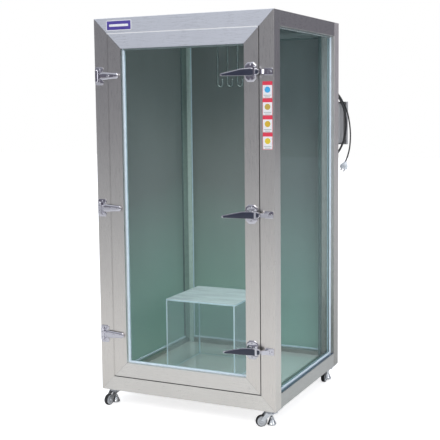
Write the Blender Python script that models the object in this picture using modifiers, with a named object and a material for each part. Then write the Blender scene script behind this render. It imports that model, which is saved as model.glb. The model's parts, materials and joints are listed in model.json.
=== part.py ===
"""Walk-up sterilizer cabinet: stainless frame, glass walls, glazed door with strap hinges and lever latches.

Metres, +Z up, front towards -Y, +X to the right as seen from the front. The origin is on the floor, under the
middle of the cabinet's own box. Run with: blender --background --python part.py
"""

from math import asin, cos, pi, radians, sin

import bmesh
import bpy
from mathutils import Matrix, Vector

# ---- driving dimensions ----
WIDTH = 0.920            # frame, left to right
DEPTH = 0.900            # frame, front to back
HEIGHT = 1.800           # frame, without the casters
CASTER_H = 0.080         # floor to the underside of the frame
MEMBER = 0.070           # visible width of every frame member
FRONT_REACH = 0.0563     # how far the latch levers stand in front of the frame
REAR_REACH = 0.1680      # how far the control box stands behind the frame
GAP = 0.0003             # clearance between pieces that touch
EDGE = 0.0015            # rounding of sheet-metal edges

# ---- frame ----
LEFT, RIGHT = -WIDTH / 2, WIDTH / 2
FRONT = (FRONT_REACH - REAR_REACH - DEPTH) / 2
REAR = FRONT + DEPTH
BASE, TOP = CASTER_H, CASTER_H + HEIGHT
RAIL_DEPTH = 0.062       # side rails, from the outer face inwards
PANE = 0.006             # glass thickness
PANE_SET_BACK = 0.025    # glass behind the frame's outer face
STOP_LIP = 0.012         # lip that the door seal closes on
STOP_START, STOP_END = 0.0440, 0.0490

# ---- door ----
DOOR_GAP = 0.004
DOOR_THICK = 0.036
DOOR_MEMBER = 0.070
SEAL_WIDTH, SEAL_THICK = 0.012, 0.0072

# ---- hinges and latches ----
HARDWARE_HEIGHTS = {"bottom": 0.280, "middle": 0.900, "top": 1.530}
HINGE_PIN_X = LEFT + 0.018
HINGE_PIN_OUT = 0.0130   # pin in front of the frame's face
HINGE_PIN_R = 0.0040
KNUCKLE_R = 0.0085
KNUCKLE_H = 0.026
STRAP_END = LEFT + 0.134
LATCH_X = 0.349          # middle of the latch's base
LEVER_PIVOT_X = 0.378
LEVER_PIVOT_OUT = 0.030
LEVER_TIP_X = 0.222
LEVER_NOSE = 0.022       # from the pivot to the nose
KEEPER_START, KEEPER_END = 0.4045, 0.4540

# ---- casters and levelling feet ----
CASTER_INSET_X, CASTER_INSET_Y = 0.042, 0.055
WHEEL_R, WHEEL_W = 0.027, 0.020
WHEEL_OFFSET = 0.050     # from the swivel axis to the axle
STEM_R, STEM_BORE_R = 0.0050, 0.0068
SWIVEL_AT_REST = {"front_left": 260.0, "front_right": 222.0, "rear_left": 285.0, "rear_right": 270.0}

# ---- inside ----
FLOOR_H = 0.050          # floor pan's upper face above the frame's underside
BENCH_X, BENCH_Y = LEFT + 0.228, FRONT + 0.250
BENCH_W, BENCH_D, BENCH_H = 0.380, 0.370, 0.420
BENCH_PLATE = 0.008
HOOK_XS = (LEFT + 0.436, LEFT + 0.490, LEFT + 0.544)
HOOK_Y = FRONT + DEPTH / 2
HOOK_LOW = 1.475
LAMP_Y = FRONT + 0.150

# ---- control box and cord ----
BOX_X, BOX_Z = 0.328, BASE + 1.2825
BOX_HALF_W, BOX_HALF_H, BOX_DEEP = 0.115, 0.105, 0.1400
COVER_HALF_W, COVER_HALF_H = 0.1315, 0.1145
ROCKER_TIP = 7.0         # degrees either side of level
CORD_D = 0.0075
COIL_A, COIL_C = 0.146, 0.208    # half width and half height of the coil's centreline
COIL_Z = BOX_Z - 0.005
COIL_Y = REAR + 0.085
COIL_HALF_Y = 0.0122
TAIL_Y = COIL_Y + COIL_HALF_Y + GAP + CORD_D / 2
LEAD_Y = COIL_Y - COIL_HALF_Y - GAP - CORD_D / 2
CLEAT_HALF_W = 0.014     # cord cleat on top of the case
CLEAT_REACH = 0.0230     # from the coil's middle to the cleat's post and to its lip
PLUG_END = Vector((0.4590, TAIL_Y + 0.025, BASE + 1.0770))
PLUG_BACK = Vector((0.34, 0.0, 0.94)).normalized()    # from the plug back along its cord

FINISHES = {
    "brushed_stainless": ((0.62, 0.62, 0.60), 0.34, 1.0),
    "polished_stainless": ((0.70, 0.71, 0.70), 0.12, 1.0),
    "chrome": ((0.80, 0.81, 0.83), 0.06, 1.0),
    "clear_glass": ((0.80, 0.92, 0.88), 0.03, 0.0),
    "tinted_glass": ((0.12, 0.22, 0.21), 0.06, 0.0),
    "dark_grip": ((0.020, 0.024, 0.040), 0.35, 0.0),
    "grey_paint": ((0.34, 0.34, 0.35), 0.45, 0.0),
    "black_rubber": ((0.02, 0.02, 0.02), 0.80, 0.0),
    "zinc": ((0.66, 0.68, 0.70), 0.28, 1.0),
    "white_plastic": ((0.80, 0.82, 0.84), 0.35, 0.0),
}


# ---- scene helpers ----
def clear_scene():
    for thing in list(bpy.data.objects):
        bpy.data.objects.remove(thing, do_unlink=True)


def collection(name):
    group = bpy.data.collections.new(name)
    bpy.context.scene.collection.children.link(group)
    return group


def material(name):
    found = bpy.data.materials.get(name)
    if found:
        return found
    colour, roughness, metallic = FINISHES[name]
    made = bpy.data.materials.new(name)
    made.use_nodes = True
    shader = made.node_tree.nodes["Principled BSDF"]
    shader.inputs["Base Color"].default_value = (*colour, 1.0)
    shader.inputs["Roughness"].default_value = roughness
    shader.inputs["Metallic"].default_value = metallic
    return made


def add_object(name, data, finish):
    thing = bpy.data.objects.new(name, data)
    PARTS.objects.link(thing)
    if finish:
        data.materials.append(material(finish))
    return thing


def add_mesh(name, bm, finish, smooth=False):
    bmesh.ops.recalc_face_normals(bm, faces=bm.faces)
    data = bpy.data.meshes.new(name)
    bm.to_mesh(data)
    bm.free()
    if smooth:
        data.shade_smooth()
        data.set_sharp_from_angle(angle=radians(35))
    return add_object(name, data, finish)


def as_cutter(thing):
    for group in list(thing.users_collection):
        group.objects.unlink(thing)
    CUTTERS.objects.link(thing)
    thing.hide_render = True
    thing.display_type = "WIRE"
    return thing


# ---- solids ----
def block(name, low, high, finish, bevel=0.0):
    """A box between two corners, with its edges rounded."""
    low, high = Vector(low), Vector(high)
    bm = bmesh.new()
    size = high - low
    place = Matrix.Translation((low + high) / 2) @ Matrix.Diagonal((*size, 1.0))
    bmesh.ops.create_cube(bm, size=1.0, matrix=place)
    thing = add_mesh(name, bm, finish)
    if bevel:
        round_edges(thing, bevel)
    return thing


def rod(name, start, end, radius, finish, sides=20):
    """A cylinder between two points."""
    start, end = Vector(start), Vector(end)
    bm = bmesh.new()
    turn = (end - start).to_track_quat("Z", "Y").to_matrix().to_4x4()
    bmesh.ops.create_cone(
        bm,
        cap_ends=True,
        segments=sides,
        radius1=radius,
        radius2=radius,
        depth=(end - start).length,
        matrix=Matrix.Translation((start + end) / 2) @ turn,
    )
    return add_mesh(name, bm, finish, smooth=True)


def turned(name, profile, finish, steps=32):
    """A profile of (radius, height), from the top of its outer side down, turned about its own Z axis."""
    bm = bmesh.new()
    points = [bm.verts.new((radius, 0.0, height)) for radius, height in profile]
    for one, two in zip(points, points[1:]):
        bm.edges.new((one, two))
    data = bpy.data.meshes.new(name)
    bm.to_mesh(data)
    bm.free()
    thing = add_object(name, data, finish)
    screw = thing.modifiers.new("turn", "SCREW")
    screw.axis = "Z"
    screw.steps = steps
    screw.render_steps = steps
    screw.use_merge_vertices = True
    screw.merge_threshold = 0.00005
    screw.use_smooth_shade = True
    return thing


def solid_mesh(thing):
    """The evaluated shape of an object as a plain mesh object in the same place."""
    bpy.context.view_layer.update()
    seen = thing.evaluated_get(bpy.context.evaluated_depsgraph_get())
    data = bpy.data.meshes.new_from_object(seen)
    bm = bmesh.new()
    bm.from_mesh(data)
    bmesh.ops.remove_doubles(bm, verts=bm.verts, dist=0.00001)
    bm.to_mesh(data)
    bm.free()
    label = thing.name
    place = thing.matrix_world.copy()
    groups = list(thing.users_collection)
    bpy.data.objects.remove(thing, do_unlink=True)
    made = bpy.data.objects.new(label, data)
    made.matrix_world = place
    for group in groups:
        group.objects.link(made)
    return made


def outline(name, points, thickness, finish, holes=()):
    """A flat outline in local XY, extruded both ways along local Z to the given thickness."""
    curve = bpy.data.curves.new(name, "CURVE")
    curve.dimensions = "2D"
    curve.fill_mode = "BOTH"
    curve.extrude = thickness / 2
    for loop in (points, *holes):
        spline = curve.splines.new("POLY")
        spline.points.add(len(loop) - 1)
        for point, (x, y) in zip(spline.points, loop):
            point.co = (x, y, 0.0, 1.0)
        spline.use_cyclic_u = True
    return solid_mesh(add_object(name, curve, finish))


def tube(name, points, radius, finish, rings=2):
    """A round wire or cord along a list of points."""
    curve = bpy.data.curves.new(name, "CURVE")
    curve.dimensions = "3D"
    curve.bevel_depth = radius
    curve.bevel_resolution = rings
    curve.use_fill_caps = True
    spline = curve.splines.new("POLY")
    spline.points.add(len(points) - 1)
    for point, place in zip(spline.points, points):
        point.co = (*place, 1.0)
    return add_object(name, curve, finish)


def arc(centre, radius, start, end, count):
    """Points on a circle in a plane, from one angle in degrees to another."""
    angles = [radians(start + (end - start) * i / (count - 1)) for i in range(count)]
    return [(centre[0] + radius * cos(a), centre[1] + radius * sin(a)) for a in angles]


def boolean(thing, tool, operation):
    """Keep the tool as a hidden cutter and cut or join with it."""
    step = thing.modifiers.new(operation.lower(), "BOOLEAN")
    step.operation = operation
    step.solver = "EXACT"
    step.object = as_cutter(tool)
    return thing


def cut(thing, *tools):
    for tool in tools:
        boolean(thing, tool, "DIFFERENCE")
    return thing


def join(thing, *tools):
    for tool in tools:
        boolean(thing, tool, "UNION")
    return thing


def round_edges(thing, width, segments=2):
    step = thing.modifiers.new("rounded", "BEVEL")
    step.width = width
    step.segments = segments
    step.limit_method = "ANGLE"
    step.angle_limit = radians(40)
    return thing


def smooth_route(points, spacing):
    """Even points on a smooth curve through the given ones."""
    stops = [Vector(p) for p in points]
    ends = [2 * stops[0] - stops[1], *stops, 2 * stops[-1] - stops[-2]]
    fine = []
    for a, b, c, d in zip(ends, ends[1:], ends[2:], ends[3:]):
        for i in range(24):
            t = i / 24
            fine.append(
                0.5 * (2 * b + (c - a) * t + (2 * a - 5 * b + 4 * c - d) * t * t + (3 * b - a - 3 * c + d) * t**3)
            )
    fine.append(stops[-1])
    length = sum((q - p).length for p, q in zip(fine, fine[1:]))
    count = max(2, round(length / spacing))
    kept, walked, wanted = [fine[0]], 0.0, length / count
    for p, q in zip(fine, fine[1:]):
        step = (q - p).length
        while walked + step >= wanted - 1e-9 and len(kept) < count:
            kept.append(p.lerp(q, (wanted - walked) / step))
            wanted += length / count
        walked += step
    kept.append(fine[-1])
    return kept


# ---- frame and panels ----
def ring(name, low, high, member, finish, bevel=EDGE):
    """A rectangular frame: a slab with rounded edges and a rectangular way through along Y."""
    slab = block(name, low, high, finish, bevel)
    hole_low = (low[0] + member, low[1] - 0.01, low[2] + member)
    hole_high = (high[0] - member, high[1] + 0.01, high[2] - member)
    return cut(slab, block(name + "_opening", hole_low, hole_high, None))


def corner_place(corner):
    x = LEFT + CASTER_INSET_X if corner.endswith("left") else RIGHT - CASTER_INSET_X
    y = FRONT + CASTER_INSET_Y if corner.startswith("front") else REAR - CASTER_INSET_Y
    return x, y


def stem_bore(corner):
    x, y = corner_place(corner)
    return rod(corner + "_bore", (x, y, BASE - 0.005), (x, y, BASE + 0.045), STEM_BORE_R, None)


def frames():
    member = MEMBER
    lip = MEMBER + STOP_LIP
    front = block("front_frame", (LEFT, FRONT, BASE), (RIGHT, FRONT + member, TOP), "brushed_stainless", EDGE)
    way = block(
        "front_way",
        (LEFT + lip, FRONT - 0.01, BASE + lip),
        (RIGHT - lip, FRONT + member + 0.01, TOP - lip),
        None,
    )
    door_room = block(
        "door_room",
        (LEFT + member, FRONT - 0.01, BASE + member),
        (RIGHT - member, FRONT + STOP_START, TOP - member),
        None,
    )
    rear_room = block(
        "behind_lip",
        (LEFT + member, FRONT + STOP_END, BASE + member),
        (RIGHT - member, FRONT + member + 0.01, TOP - member),
        None,
    )
    cut(front, way, door_room, rear_room, stem_bore("front_left"), stem_bore("front_right"))

    rear = ring("rear_frame", (LEFT, REAR - member, BASE), (RIGHT, REAR, TOP), member, "brushed_stainless")
    cut(rear, stem_bore("rear_left"), stem_bore("rear_right"))

    y0, y1 = FRONT + member + GAP, REAR - member - GAP
    for side, low_x, high_x in (
        ("left", LEFT, LEFT + RAIL_DEPTH),
        ("right", RIGHT - RAIL_DEPTH, RIGHT),
    ):
        for level, low_z in (("bottom", BASE), ("top", TOP - member)):
            low, high = (low_x, y0, low_z), (high_x, y1, low_z + member)
            block(f"side_rail_{side}_{level}", low, high, "brushed_stainless", EDGE)


def floor_and_roof():
    """Polished floor pan between the bottom rails, and a roof tray with its rim turned down."""
    x = WIDTH / 2 - RAIL_DEPTH - GAP
    y0, y1 = FRONT + MEMBER + GAP, REAR - MEMBER - GAP
    high = BASE + FLOOR_H
    pan = block("floor_pan", (-x, y0, high - 0.030), (x, y1, high), "polished_stainless")
    hollow = block("pan_hollow", (-x + 0.003, y0 + 0.003, high - 0.040), (x - 0.003, y1 - 0.003, high - 0.003), None)
    round_edges(cut(pan, hollow), 0.001, 1)
    roof = block("roof_panel", (-x, y0, TOP - 0.045), (x, y1, TOP - 0.002), "brushed_stainless")
    under = block("roof_hollow", (-x + 0.003, y0 + 0.003, TOP - 0.060), (x - 0.003, y1 - 0.003, TOP - 0.005), None)
    round_edges(cut(roof, under), 0.001, 1)


def panes():
    """Fixed glass in the two sides and the back."""
    low_z, high_z = BASE + MEMBER + GAP, TOP - MEMBER - GAP
    y0, y1 = FRONT + MEMBER + GAP, REAR - MEMBER - GAP
    inset = PANE_SET_BACK
    block("left_pane", (LEFT + inset, y0, low_z), (LEFT + inset + PANE, y1, high_z), "tinted_glass", 0.0005)
    block("right_pane", (RIGHT - inset - PANE, y0, low_z), (RIGHT - inset, y1, high_z), "clear_glass", 0.0005)
    x = WIDTH / 2 - MEMBER - GAP
    block("rear_pane", (-x, REAR - inset - PANE, low_z), (x, REAR - inset, high_z), "tinted_glass", 0.0005)


# ---- door ----
def door():
    outer = MEMBER + DOOR_GAP
    low = (LEFT + outer, FRONT, BASE + outer)
    high = (RIGHT - outer, FRONT + DOOR_THICK, TOP - outer)
    ring("door_frame", low, high, DOOR_MEMBER, "brushed_stainless")
    inner = outer + DOOR_MEMBER + GAP
    block(
        "door_pane",
        (LEFT + inner, FRONT + PANE_SET_BACK, BASE + inner),
        (RIGHT - inner, FRONT + PANE_SET_BACK + PANE, TOP - inner),
        "clear_glass",
        0.0005,
    )
    edge = outer + 0.001
    y0 = FRONT + DOOR_THICK + GAP
    seal_low = (LEFT + edge, y0, BASE + edge)
    seal_high = (RIGHT - edge, y0 + SEAL_THICK, TOP - edge)
    ring("door_seal", seal_low, seal_high, SEAL_WIDTH, "black_rubber")


# ---- hinges ----
def hinge(level, height):
    z = BASE + height
    x, y = HINGE_PIN_X, FRONT - HINGE_PIN_OUT
    half = KNUCKLE_H / 2
    pad = 0.0425
    corners = (
        arc((-0.008, pad - 0.010), 0.010, 180, 90, 5)
        + arc((0.020, pad - 0.010), 0.010, 90, 0, 5)
        + [(0.022, 0.020), (0.022, -0.020)]
        + arc((0.020, -pad + 0.010), 0.010, 0, -90, 5)
        + arc((-0.008, -pad + 0.010), 0.010, -90, -180, 5)
    )
    # flat against the stile: local XY becomes world XZ
    leaf = outline(f"hinge_leaf_{level}", corners, 0.003, "chrome")
    leaf.matrix_world = Matrix.Translation((x + 0.001, FRONT - 0.0015 - GAP, z)) @ Matrix.Rotation(pi / 2, 4, "X")
    pieces = [rod(f"pin_{level}", (x, y, z - half - 0.013), (x, y, z + half + 0.013), HINGE_PIN_R, None)]
    for way in (-1, 1):
        near, far = z + way * (half + 0.0006), z + way * (half + 0.0135)
        pieces.append(rod(f"knuckle_{level}_{way}", (x, y, near), (x, y, far), KNUCKLE_R, None))
        low_z, high_z = sorted((near, far))
        low = (x - 0.006, y, low_z)
        pieces.append(block(f"web_{level}_{way}", low, (x + 0.006, FRONT - 0.0010, high_z), None))
    join(leaf, *pieces)

    # tapering strap on the door, with a knuckle round the pin
    reach = STRAP_END - x
    root, tip = 0.018, 0.0135
    shape = [(0.0, half), (0.012, half), (0.030, root), (reach - 0.016, tip + 0.001)]
    shape += arc((reach - 0.009, tip - 0.008), 0.009, 90, 0, 5)
    shape += arc((reach - 0.009, -tip + 0.008), 0.009, 0, -90, 5)
    shape += [(reach - 0.016, -tip - 0.001), (0.030, -root), (0.012, -half), (0.0, -half)]
    strap = outline(f"hinge_strap_{level}", shape, 0.005, "chrome")
    strap.matrix_world = Matrix.Translation((x, FRONT - 0.0075, z)) @ Matrix.Rotation(pi / 2, 4, "X")
    barrel = rod(f"barrel_{level}", (x, y, z - half), (x, y, z + half), KNUCKLE_R, None)
    door_edge = LEFT + MEMBER + DOOR_GAP
    foot_low = (door_edge + 0.004, FRONT - 0.0080, z - tip + 0.0005)
    foot = block(f"strap_foot_{level}", foot_low, (STRAP_END - 0.003, FRONT - GAP, z + tip - 0.0005), None)
    bore = rod(f"strap_bore_{level}", (x, y, z - 0.05), (x, y, z + 0.05), HINGE_PIN_R + GAP, None)
    join(strap, barrel, foot)
    cut(strap, bore)


# ---- latches ----
def latch(level, height):
    z = BASE + height
    x, y = LEVER_PIVOT_X, FRONT - LEVER_PIVOT_OUT
    # eight-sided base on the door stile
    wide, tall, corner = 0.028, 0.043, 0.014
    shape = [
        (-wide, tall - corner), (-wide + corner, tall), (wide - corner, tall), (wide, tall - corner),
        (wide, -tall + corner), (wide - corner, -tall), (-wide + corner, -tall), (-wide, -tall + corner),
    ]
    base = outline(f"latch_body_{level}", shape, 0.006, "chrome")
    base.matrix_world = Matrix.Translation((LATCH_X, FRONT - 0.003 - GAP, z)) @ Matrix.Rotation(pi / 2, 4, "X")
    ear = 0.0175
    pieces = [rod(f"pivot_{level}", (x, y, z - ear - 0.004), (x, y, z + ear + 0.004), 0.0040, None)]
    for way in (-1, 1):
        low_z, high_z = sorted((z + way * ear, z + way * (ear + 0.004)))
        cheek = [(-0.040, 0.0), (-0.040, 0.010), (-0.008, 0.031)]
        cheek += arc((0.0, LEVER_PIVOT_OUT - 0.0055), 0.009, 110, 0, 6)
        cheek += [(-0.001, 0.004), (-0.001, 0.0)]
        plate = outline(f"ear_{level}_{way}", cheek, high_z - low_z, None)
        # local Y points out of the door
        mirror = Matrix.Diagonal((1.0, -1.0, -1.0, 1.0))
        place = Matrix.Translation((x, FRONT - 0.0055, (low_z + high_z) / 2))
        plate.matrix_world = place @ mirror
        pieces.append(plate)
    join(base, *pieces)

    # lever: a blade that narrows to its tip and leans a little away from the door
    reach = x - LEVER_TIP_X
    drop = 0.007
    blade = [(-reach, -drop - 0.005), (-reach + 0.006, -drop - 0.009), (-0.060, -0.0165), (-0.016, -0.0165)]
    blade += [(LEVER_NOSE - 0.006, -0.012), (LEVER_NOSE, -0.006), (LEVER_NOSE, 0.006)]
    blade += [(LEVER_NOSE - 0.006, 0.012), (-0.016, 0.0165), (-0.060, 0.0145), (-reach + 0.006, -drop + 0.003)]
    lever = outline(f"latch_lever_{level}", blade, 0.012, "dark_grip")
    lean = Matrix.Rotation(radians(7.5), 4, "Z")
    lever.matrix_world = Matrix.Translation((x, y, z)) @ lean @ Matrix.Rotation(pi / 2, 4, "X")
    cut(lever, rod(f"lever_bore_{level}", (x, y, z - 0.05), (x, y, z + 0.05), 0.0045, None))

    # keeper on the frame stile: a plate with a raised wedge beside the lever's nose
    low, high = (KEEPER_START + 0.006, FRONT - 0.004, z - 0.016), (KEEPER_END, FRONT - GAP, z + 0.016)
    keeper = block(f"latch_keeper_{level}", low, high, "chrome")
    wedge = [(0.0, 0.012), (0.0, 0.034), (0.004, 0.036), (0.010, 0.034), (0.030, 0.002), (0.006, 0.002)]
    hump = outline(f"wedge_{level}", wedge, 0.020, None)
    hump.matrix_world = Matrix.Translation((KEEPER_START, FRONT, z)) @ Matrix.Diagonal((1.0, -1.0, -1.0, 1.0))
    join(keeper, hump)


# ---- casters and feet ----
def caster(corner):
    """A plate under the frame's corner, a swivelling fork beside the levelling stem, and its wheel."""
    x, y = corner_place(corner)
    half = 0.040
    plate_low = BASE - 0.0043
    plate = block(f"caster_plate_{corner}", (x - half, y - half, plate_low), (x + half, y + half, BASE - GAP), "zinc")
    race = rod(f"race_{corner}", (x, y, plate_low - 0.008), (x, y, plate_low + 0.002), 0.026, None, sides=24)
    through = rod(f"race_bore_{corner}", (x, y, 0.0), (x, y, BASE + 0.01), STEM_BORE_R, None)
    cut(join(plate, race), through)

    turn = Matrix.Translation((x, y, 0.0)) @ Matrix.Rotation(radians(SWIVEL_AT_REST[corner]), 4, "Z")
    ring_top = plate_low - 0.0085
    fork = rod(f"caster_fork_{corner}", (0, 0, ring_top - 0.006), (0, 0, ring_top), 0.028, "zinc", sides=24)
    tools = []
    for way in (-1, 1):
        side = [(-0.010, ring_top - 0.0005), (0.030, ring_top - 0.0005), (0.0585, WHEEL_R + 0.0070)]
        side += arc((WHEEL_OFFSET, WHEEL_R), 0.010, 30, -140, 7)
        side += [(0.027, 0.0370), (0.014, 0.0490), (-0.010, 0.0540)]
        cheek = outline(f"cheek_{corner}_{way}", side, 0.0025, None)
        cheek.matrix_world = Matrix.Translation((0, way * 0.0128, 0)) @ Matrix.Rotation(pi / 2, 4, "X")
        tools.append(cheek)
    start, end = (WHEEL_OFFSET, -0.0155, WHEEL_R), (WHEEL_OFFSET, 0.0155, WHEEL_R)
    tools.append(rod(f"axle_{corner}", start, end, 0.0035, None, sides=16))
    bore = rod(f"fork_bore_{corner}", (0, 0, 0.0), (0, 0, BASE), 0.0085, None)
    for tool in tools:
        tool.matrix_world = turn @ tool.matrix_world
    bore.matrix_world = turn
    fork.matrix_world = turn
    cut(join(fork, *tools), bore)

    wide = WHEEL_W / 2
    tread = [
        (0.0040, wide - 0.002), (0.009, wide - 0.002), (0.010, wide - 0.004), (0.0195, wide - 0.004),
        (0.0205, wide), (WHEEL_R - 0.0030, wide), (WHEEL_R, wide - 0.004),
    ]
    profile = tread + [(radius, -height) for radius, height in reversed(tread)] + [tread[0]]
    wheel = turned(f"caster_wheel_{corner}", profile, "black_rubber", 24)
    wheel.matrix_world = turn @ Matrix.Translation((WHEEL_OFFSET, 0, WHEEL_R)) @ Matrix.Rotation(pi / 2, 4, "X")


def levelling_foot(corner):
    x, y = corner_place(corner)
    profile = [
        (0.0, 0.112), (STEM_R - 0.001, 0.112), (STEM_R, 0.111), (STEM_R, 0.0400), (0.0090, 0.0395),
        (0.0090, 0.0340), (0.0115, 0.0320), (0.0200, 0.0090), (0.0212, 0.0080), (0.0212, 0.0045),
        (0.0205, 0.0040), (0.0, 0.0040),
    ]
    turned(f"levelling_foot_{corner}", profile, "zinc", 20).location = (x, y, 0.0)


# ---- inside ----
def bench():
    """A clear bench: a top plate on a bonded three-sided stand."""
    low, high = BASE + FLOOR_H + GAP, BASE + BENCH_H
    x0, y0, x1, y1 = BENCH_X, BENCH_Y, BENCH_X + BENCH_W, BENCH_Y + BENCH_D
    block("bench_top", (x0, y0, high - BENCH_PLATE), (x1, y1, high), "clear_glass", 0.0006)
    under = high - BENCH_PLATE - GAP
    stand = block("bench_stand", (x0, y0, low), (x1, y1 - 0.004, under), "clear_glass")
    room_low = (x0 + BENCH_PLATE, y0 - 0.01, low - 0.01)
    room_high = (x1 - BENCH_PLATE, y1 - 0.004 - BENCH_PLATE, under + 0.01)
    cut(stand, block("bench_room", room_low, room_high, None))


def hooks():
    """A bar under the roof with wire hooks that hang from it."""
    roof = TOP - 0.005 - GAP
    low = (HOOK_XS[0] - 0.030, HOOK_Y - 0.015, roof - 0.006)
    bar = block("hook_bar", low, (HOOK_XS[-1] + 0.030, HOOK_Y + 0.015, roof), "polished_stainless")
    bend = 0.013
    for i, x in enumerate(HOOK_XS):
        z = BASE + HOOK_LOW + 0.003 + bend
        curl = [(cx, HOOK_Y, cz) for cx, cz in arc((x + bend, z), bend, 180, 360, 9)]
        route = [(x, HOOK_Y, roof - 0.003), *curl, (x + 2 * bend + 0.001, HOOK_Y, z + 0.022)]
        join(bar, solid_mesh(tube(f"hook_{i}", route, 0.003, None)))


def lamp():
    """Ultraviolet lamp: a channel under the roof with two end holders, and its tube."""
    roof = TOP - 0.005 - GAP
    half = 0.290
    low = (-half, LAMP_Y - 0.022, roof - 0.024)
    channel = block("lamp_fixture", low, (half, LAMP_Y + 0.022, roof), "polished_stainless", 0.002)
    for way in (-1, 1):
        ends = sorted((way * (half - 0.002), way * (half - 0.016)))
        holder_low = (ends[0], LAMP_Y - 0.011, roof - 0.058)
        join(channel, block(f"lamp_holder_{way}", holder_low, (ends[1], LAMP_Y + 0.011, roof - 0.020), None))
    end = half - 0.0165
    z = roof - 0.046
    rod("lamp_tube", (-end, LAMP_Y, z), (end, LAMP_Y, z), 0.008, "clear_glass", sides=20)


# ---- control box ----
def cord_cleat(case_top):
    """A bent strip on top of the case that the cord's turns hang on: a post, an arm under them and a lip."""
    thick = 0.002
    x0, x1 = BOX_X - CLEAT_HALF_W, BOX_X + CLEAT_HALF_W
    back, lip = COIL_Y - CLEAT_REACH, COIL_Y + CLEAT_REACH
    arm = COIL_Z + COIL_C * cos(asin(CLEAT_HALF_W / COIL_A)) - CORD_D / 2 - 3 * GAP
    return [
        block("cleat_post", (x0, back - thick, case_top - 0.001), (x1, back, arm), None),
        block("cleat_arm", (x0, back - thick, arm - thick), (x1, lip + thick, arm), None),
        block("cleat_lip", (x0, lip, arm - thick), (x1, lip + thick, arm + 0.014), None),
    ]


def control_box():
    """Steel case on the rear stile, open behind, with a flanged cover, ballast, switch and cable gland."""
    low = (BOX_X - BOX_HALF_W, REAR + GAP, BOX_Z - BOX_HALF_H)
    high = (BOX_X + BOX_HALF_W, REAR + BOX_DEEP, BOX_Z + BOX_HALF_H)
    wall = 0.002
    case = block("control_box", low, high, "grey_paint")
    inner_low = (low[0] + wall, low[1] + wall, low[2] + wall)
    inner_high = (high[0] - wall, high[1] + 0.01, high[2] - wall)
    cut(join(case, *cord_cleat(high[2])), block("case_room", inner_low, inner_high, None))

    y0, y1 = REAR + BOX_DEEP + GAP, REAR + REAR_REACH
    cover_low = (BOX_X - COVER_HALF_W, y0, BOX_Z - COVER_HALF_H)
    cover_high = (BOX_X + COVER_HALF_W, y1, BOX_Z + COVER_HALF_H)
    cover = block("control_cover", cover_low, cover_high, "grey_paint")
    room_low = (cover_low[0] + 0.016, y0 - 0.01, cover_low[2] + 0.016)
    room_high = (cover_high[0] - 0.016, y1 - wall, cover_high[2] - 0.016)
    switch_x, switch_z = BOX_X - 0.070, BOX_Z + 0.060
    window_low = (switch_x - 0.0125, y1 - 0.012, switch_z - 0.0095)
    window_high = (switch_x + 0.0125, y1 + 0.01, switch_z + 0.0095)
    cut(cover, block("cover_room", room_low, room_high, None), block("switch_window", window_low, window_high, None))
    round_edges(cover, EDGE)

    # rocker: rests tipped back inside its window and turns about a level axis
    half_w, half_h = 0.0115, 0.0080
    key = [(-half_h, 0.0), (-half_h, -0.0080), (half_h, -0.0080), (half_h, 0.0), (0.002, -0.0012), (-0.002, -0.0012)]
    rocker = outline("rocker_switch", key, 2 * half_w, "black_rubber")
    # local X becomes world Z, local Y becomes world Y, local Z becomes world -X
    turn = Matrix(((0, 0, -1, 0), (0, 1, 0, 0), (1, 0, 0, 0), (0, 0, 0, 1)))
    tip = Matrix.Rotation(-radians(ROCKER_TIP), 4, "X")
    rocker.matrix_world = Matrix.Translation((switch_x, y1 - 0.0014, switch_z)) @ tip @ turn

    block(
        "ballast",
        (BOX_X - 0.080, REAR + 0.0030, BOX_Z - 0.020),
        (BOX_X + 0.080, REAR + 0.0430, BOX_Z + 0.022),
        "grey_paint",
        0.002,
    )

    gland_z = BOX_Z - BOX_HALF_H - GAP
    profile = [
        (0.0, 0.0), (0.0110, 0.0), (0.0115, -0.0010), (0.0115, -0.0080), (0.0095, -0.0100), (0.0095, -0.0160),
        (0.0072, -0.0190), (0.0052, -0.0420), (0.0, -0.0420),
    ]
    turned("cable_gland", profile, "black_rubber", 24).location = (BOX_X, LEAD_Y, gland_z)


# ---- cord ----
def on_coil(angle, y):
    """A point on the coil's centreline, by its angle in degrees from the right-hand side."""
    turn = radians(angle)
    return (BOX_X + COIL_A * cos(turn), y, COIL_Z + COIL_C * sin(turn))


def ellipse(a, c, count):
    turns = [2 * pi * i / count for i in range(count)]
    return [(a * cos(t), c * sin(t)) for t in turns]


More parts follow.
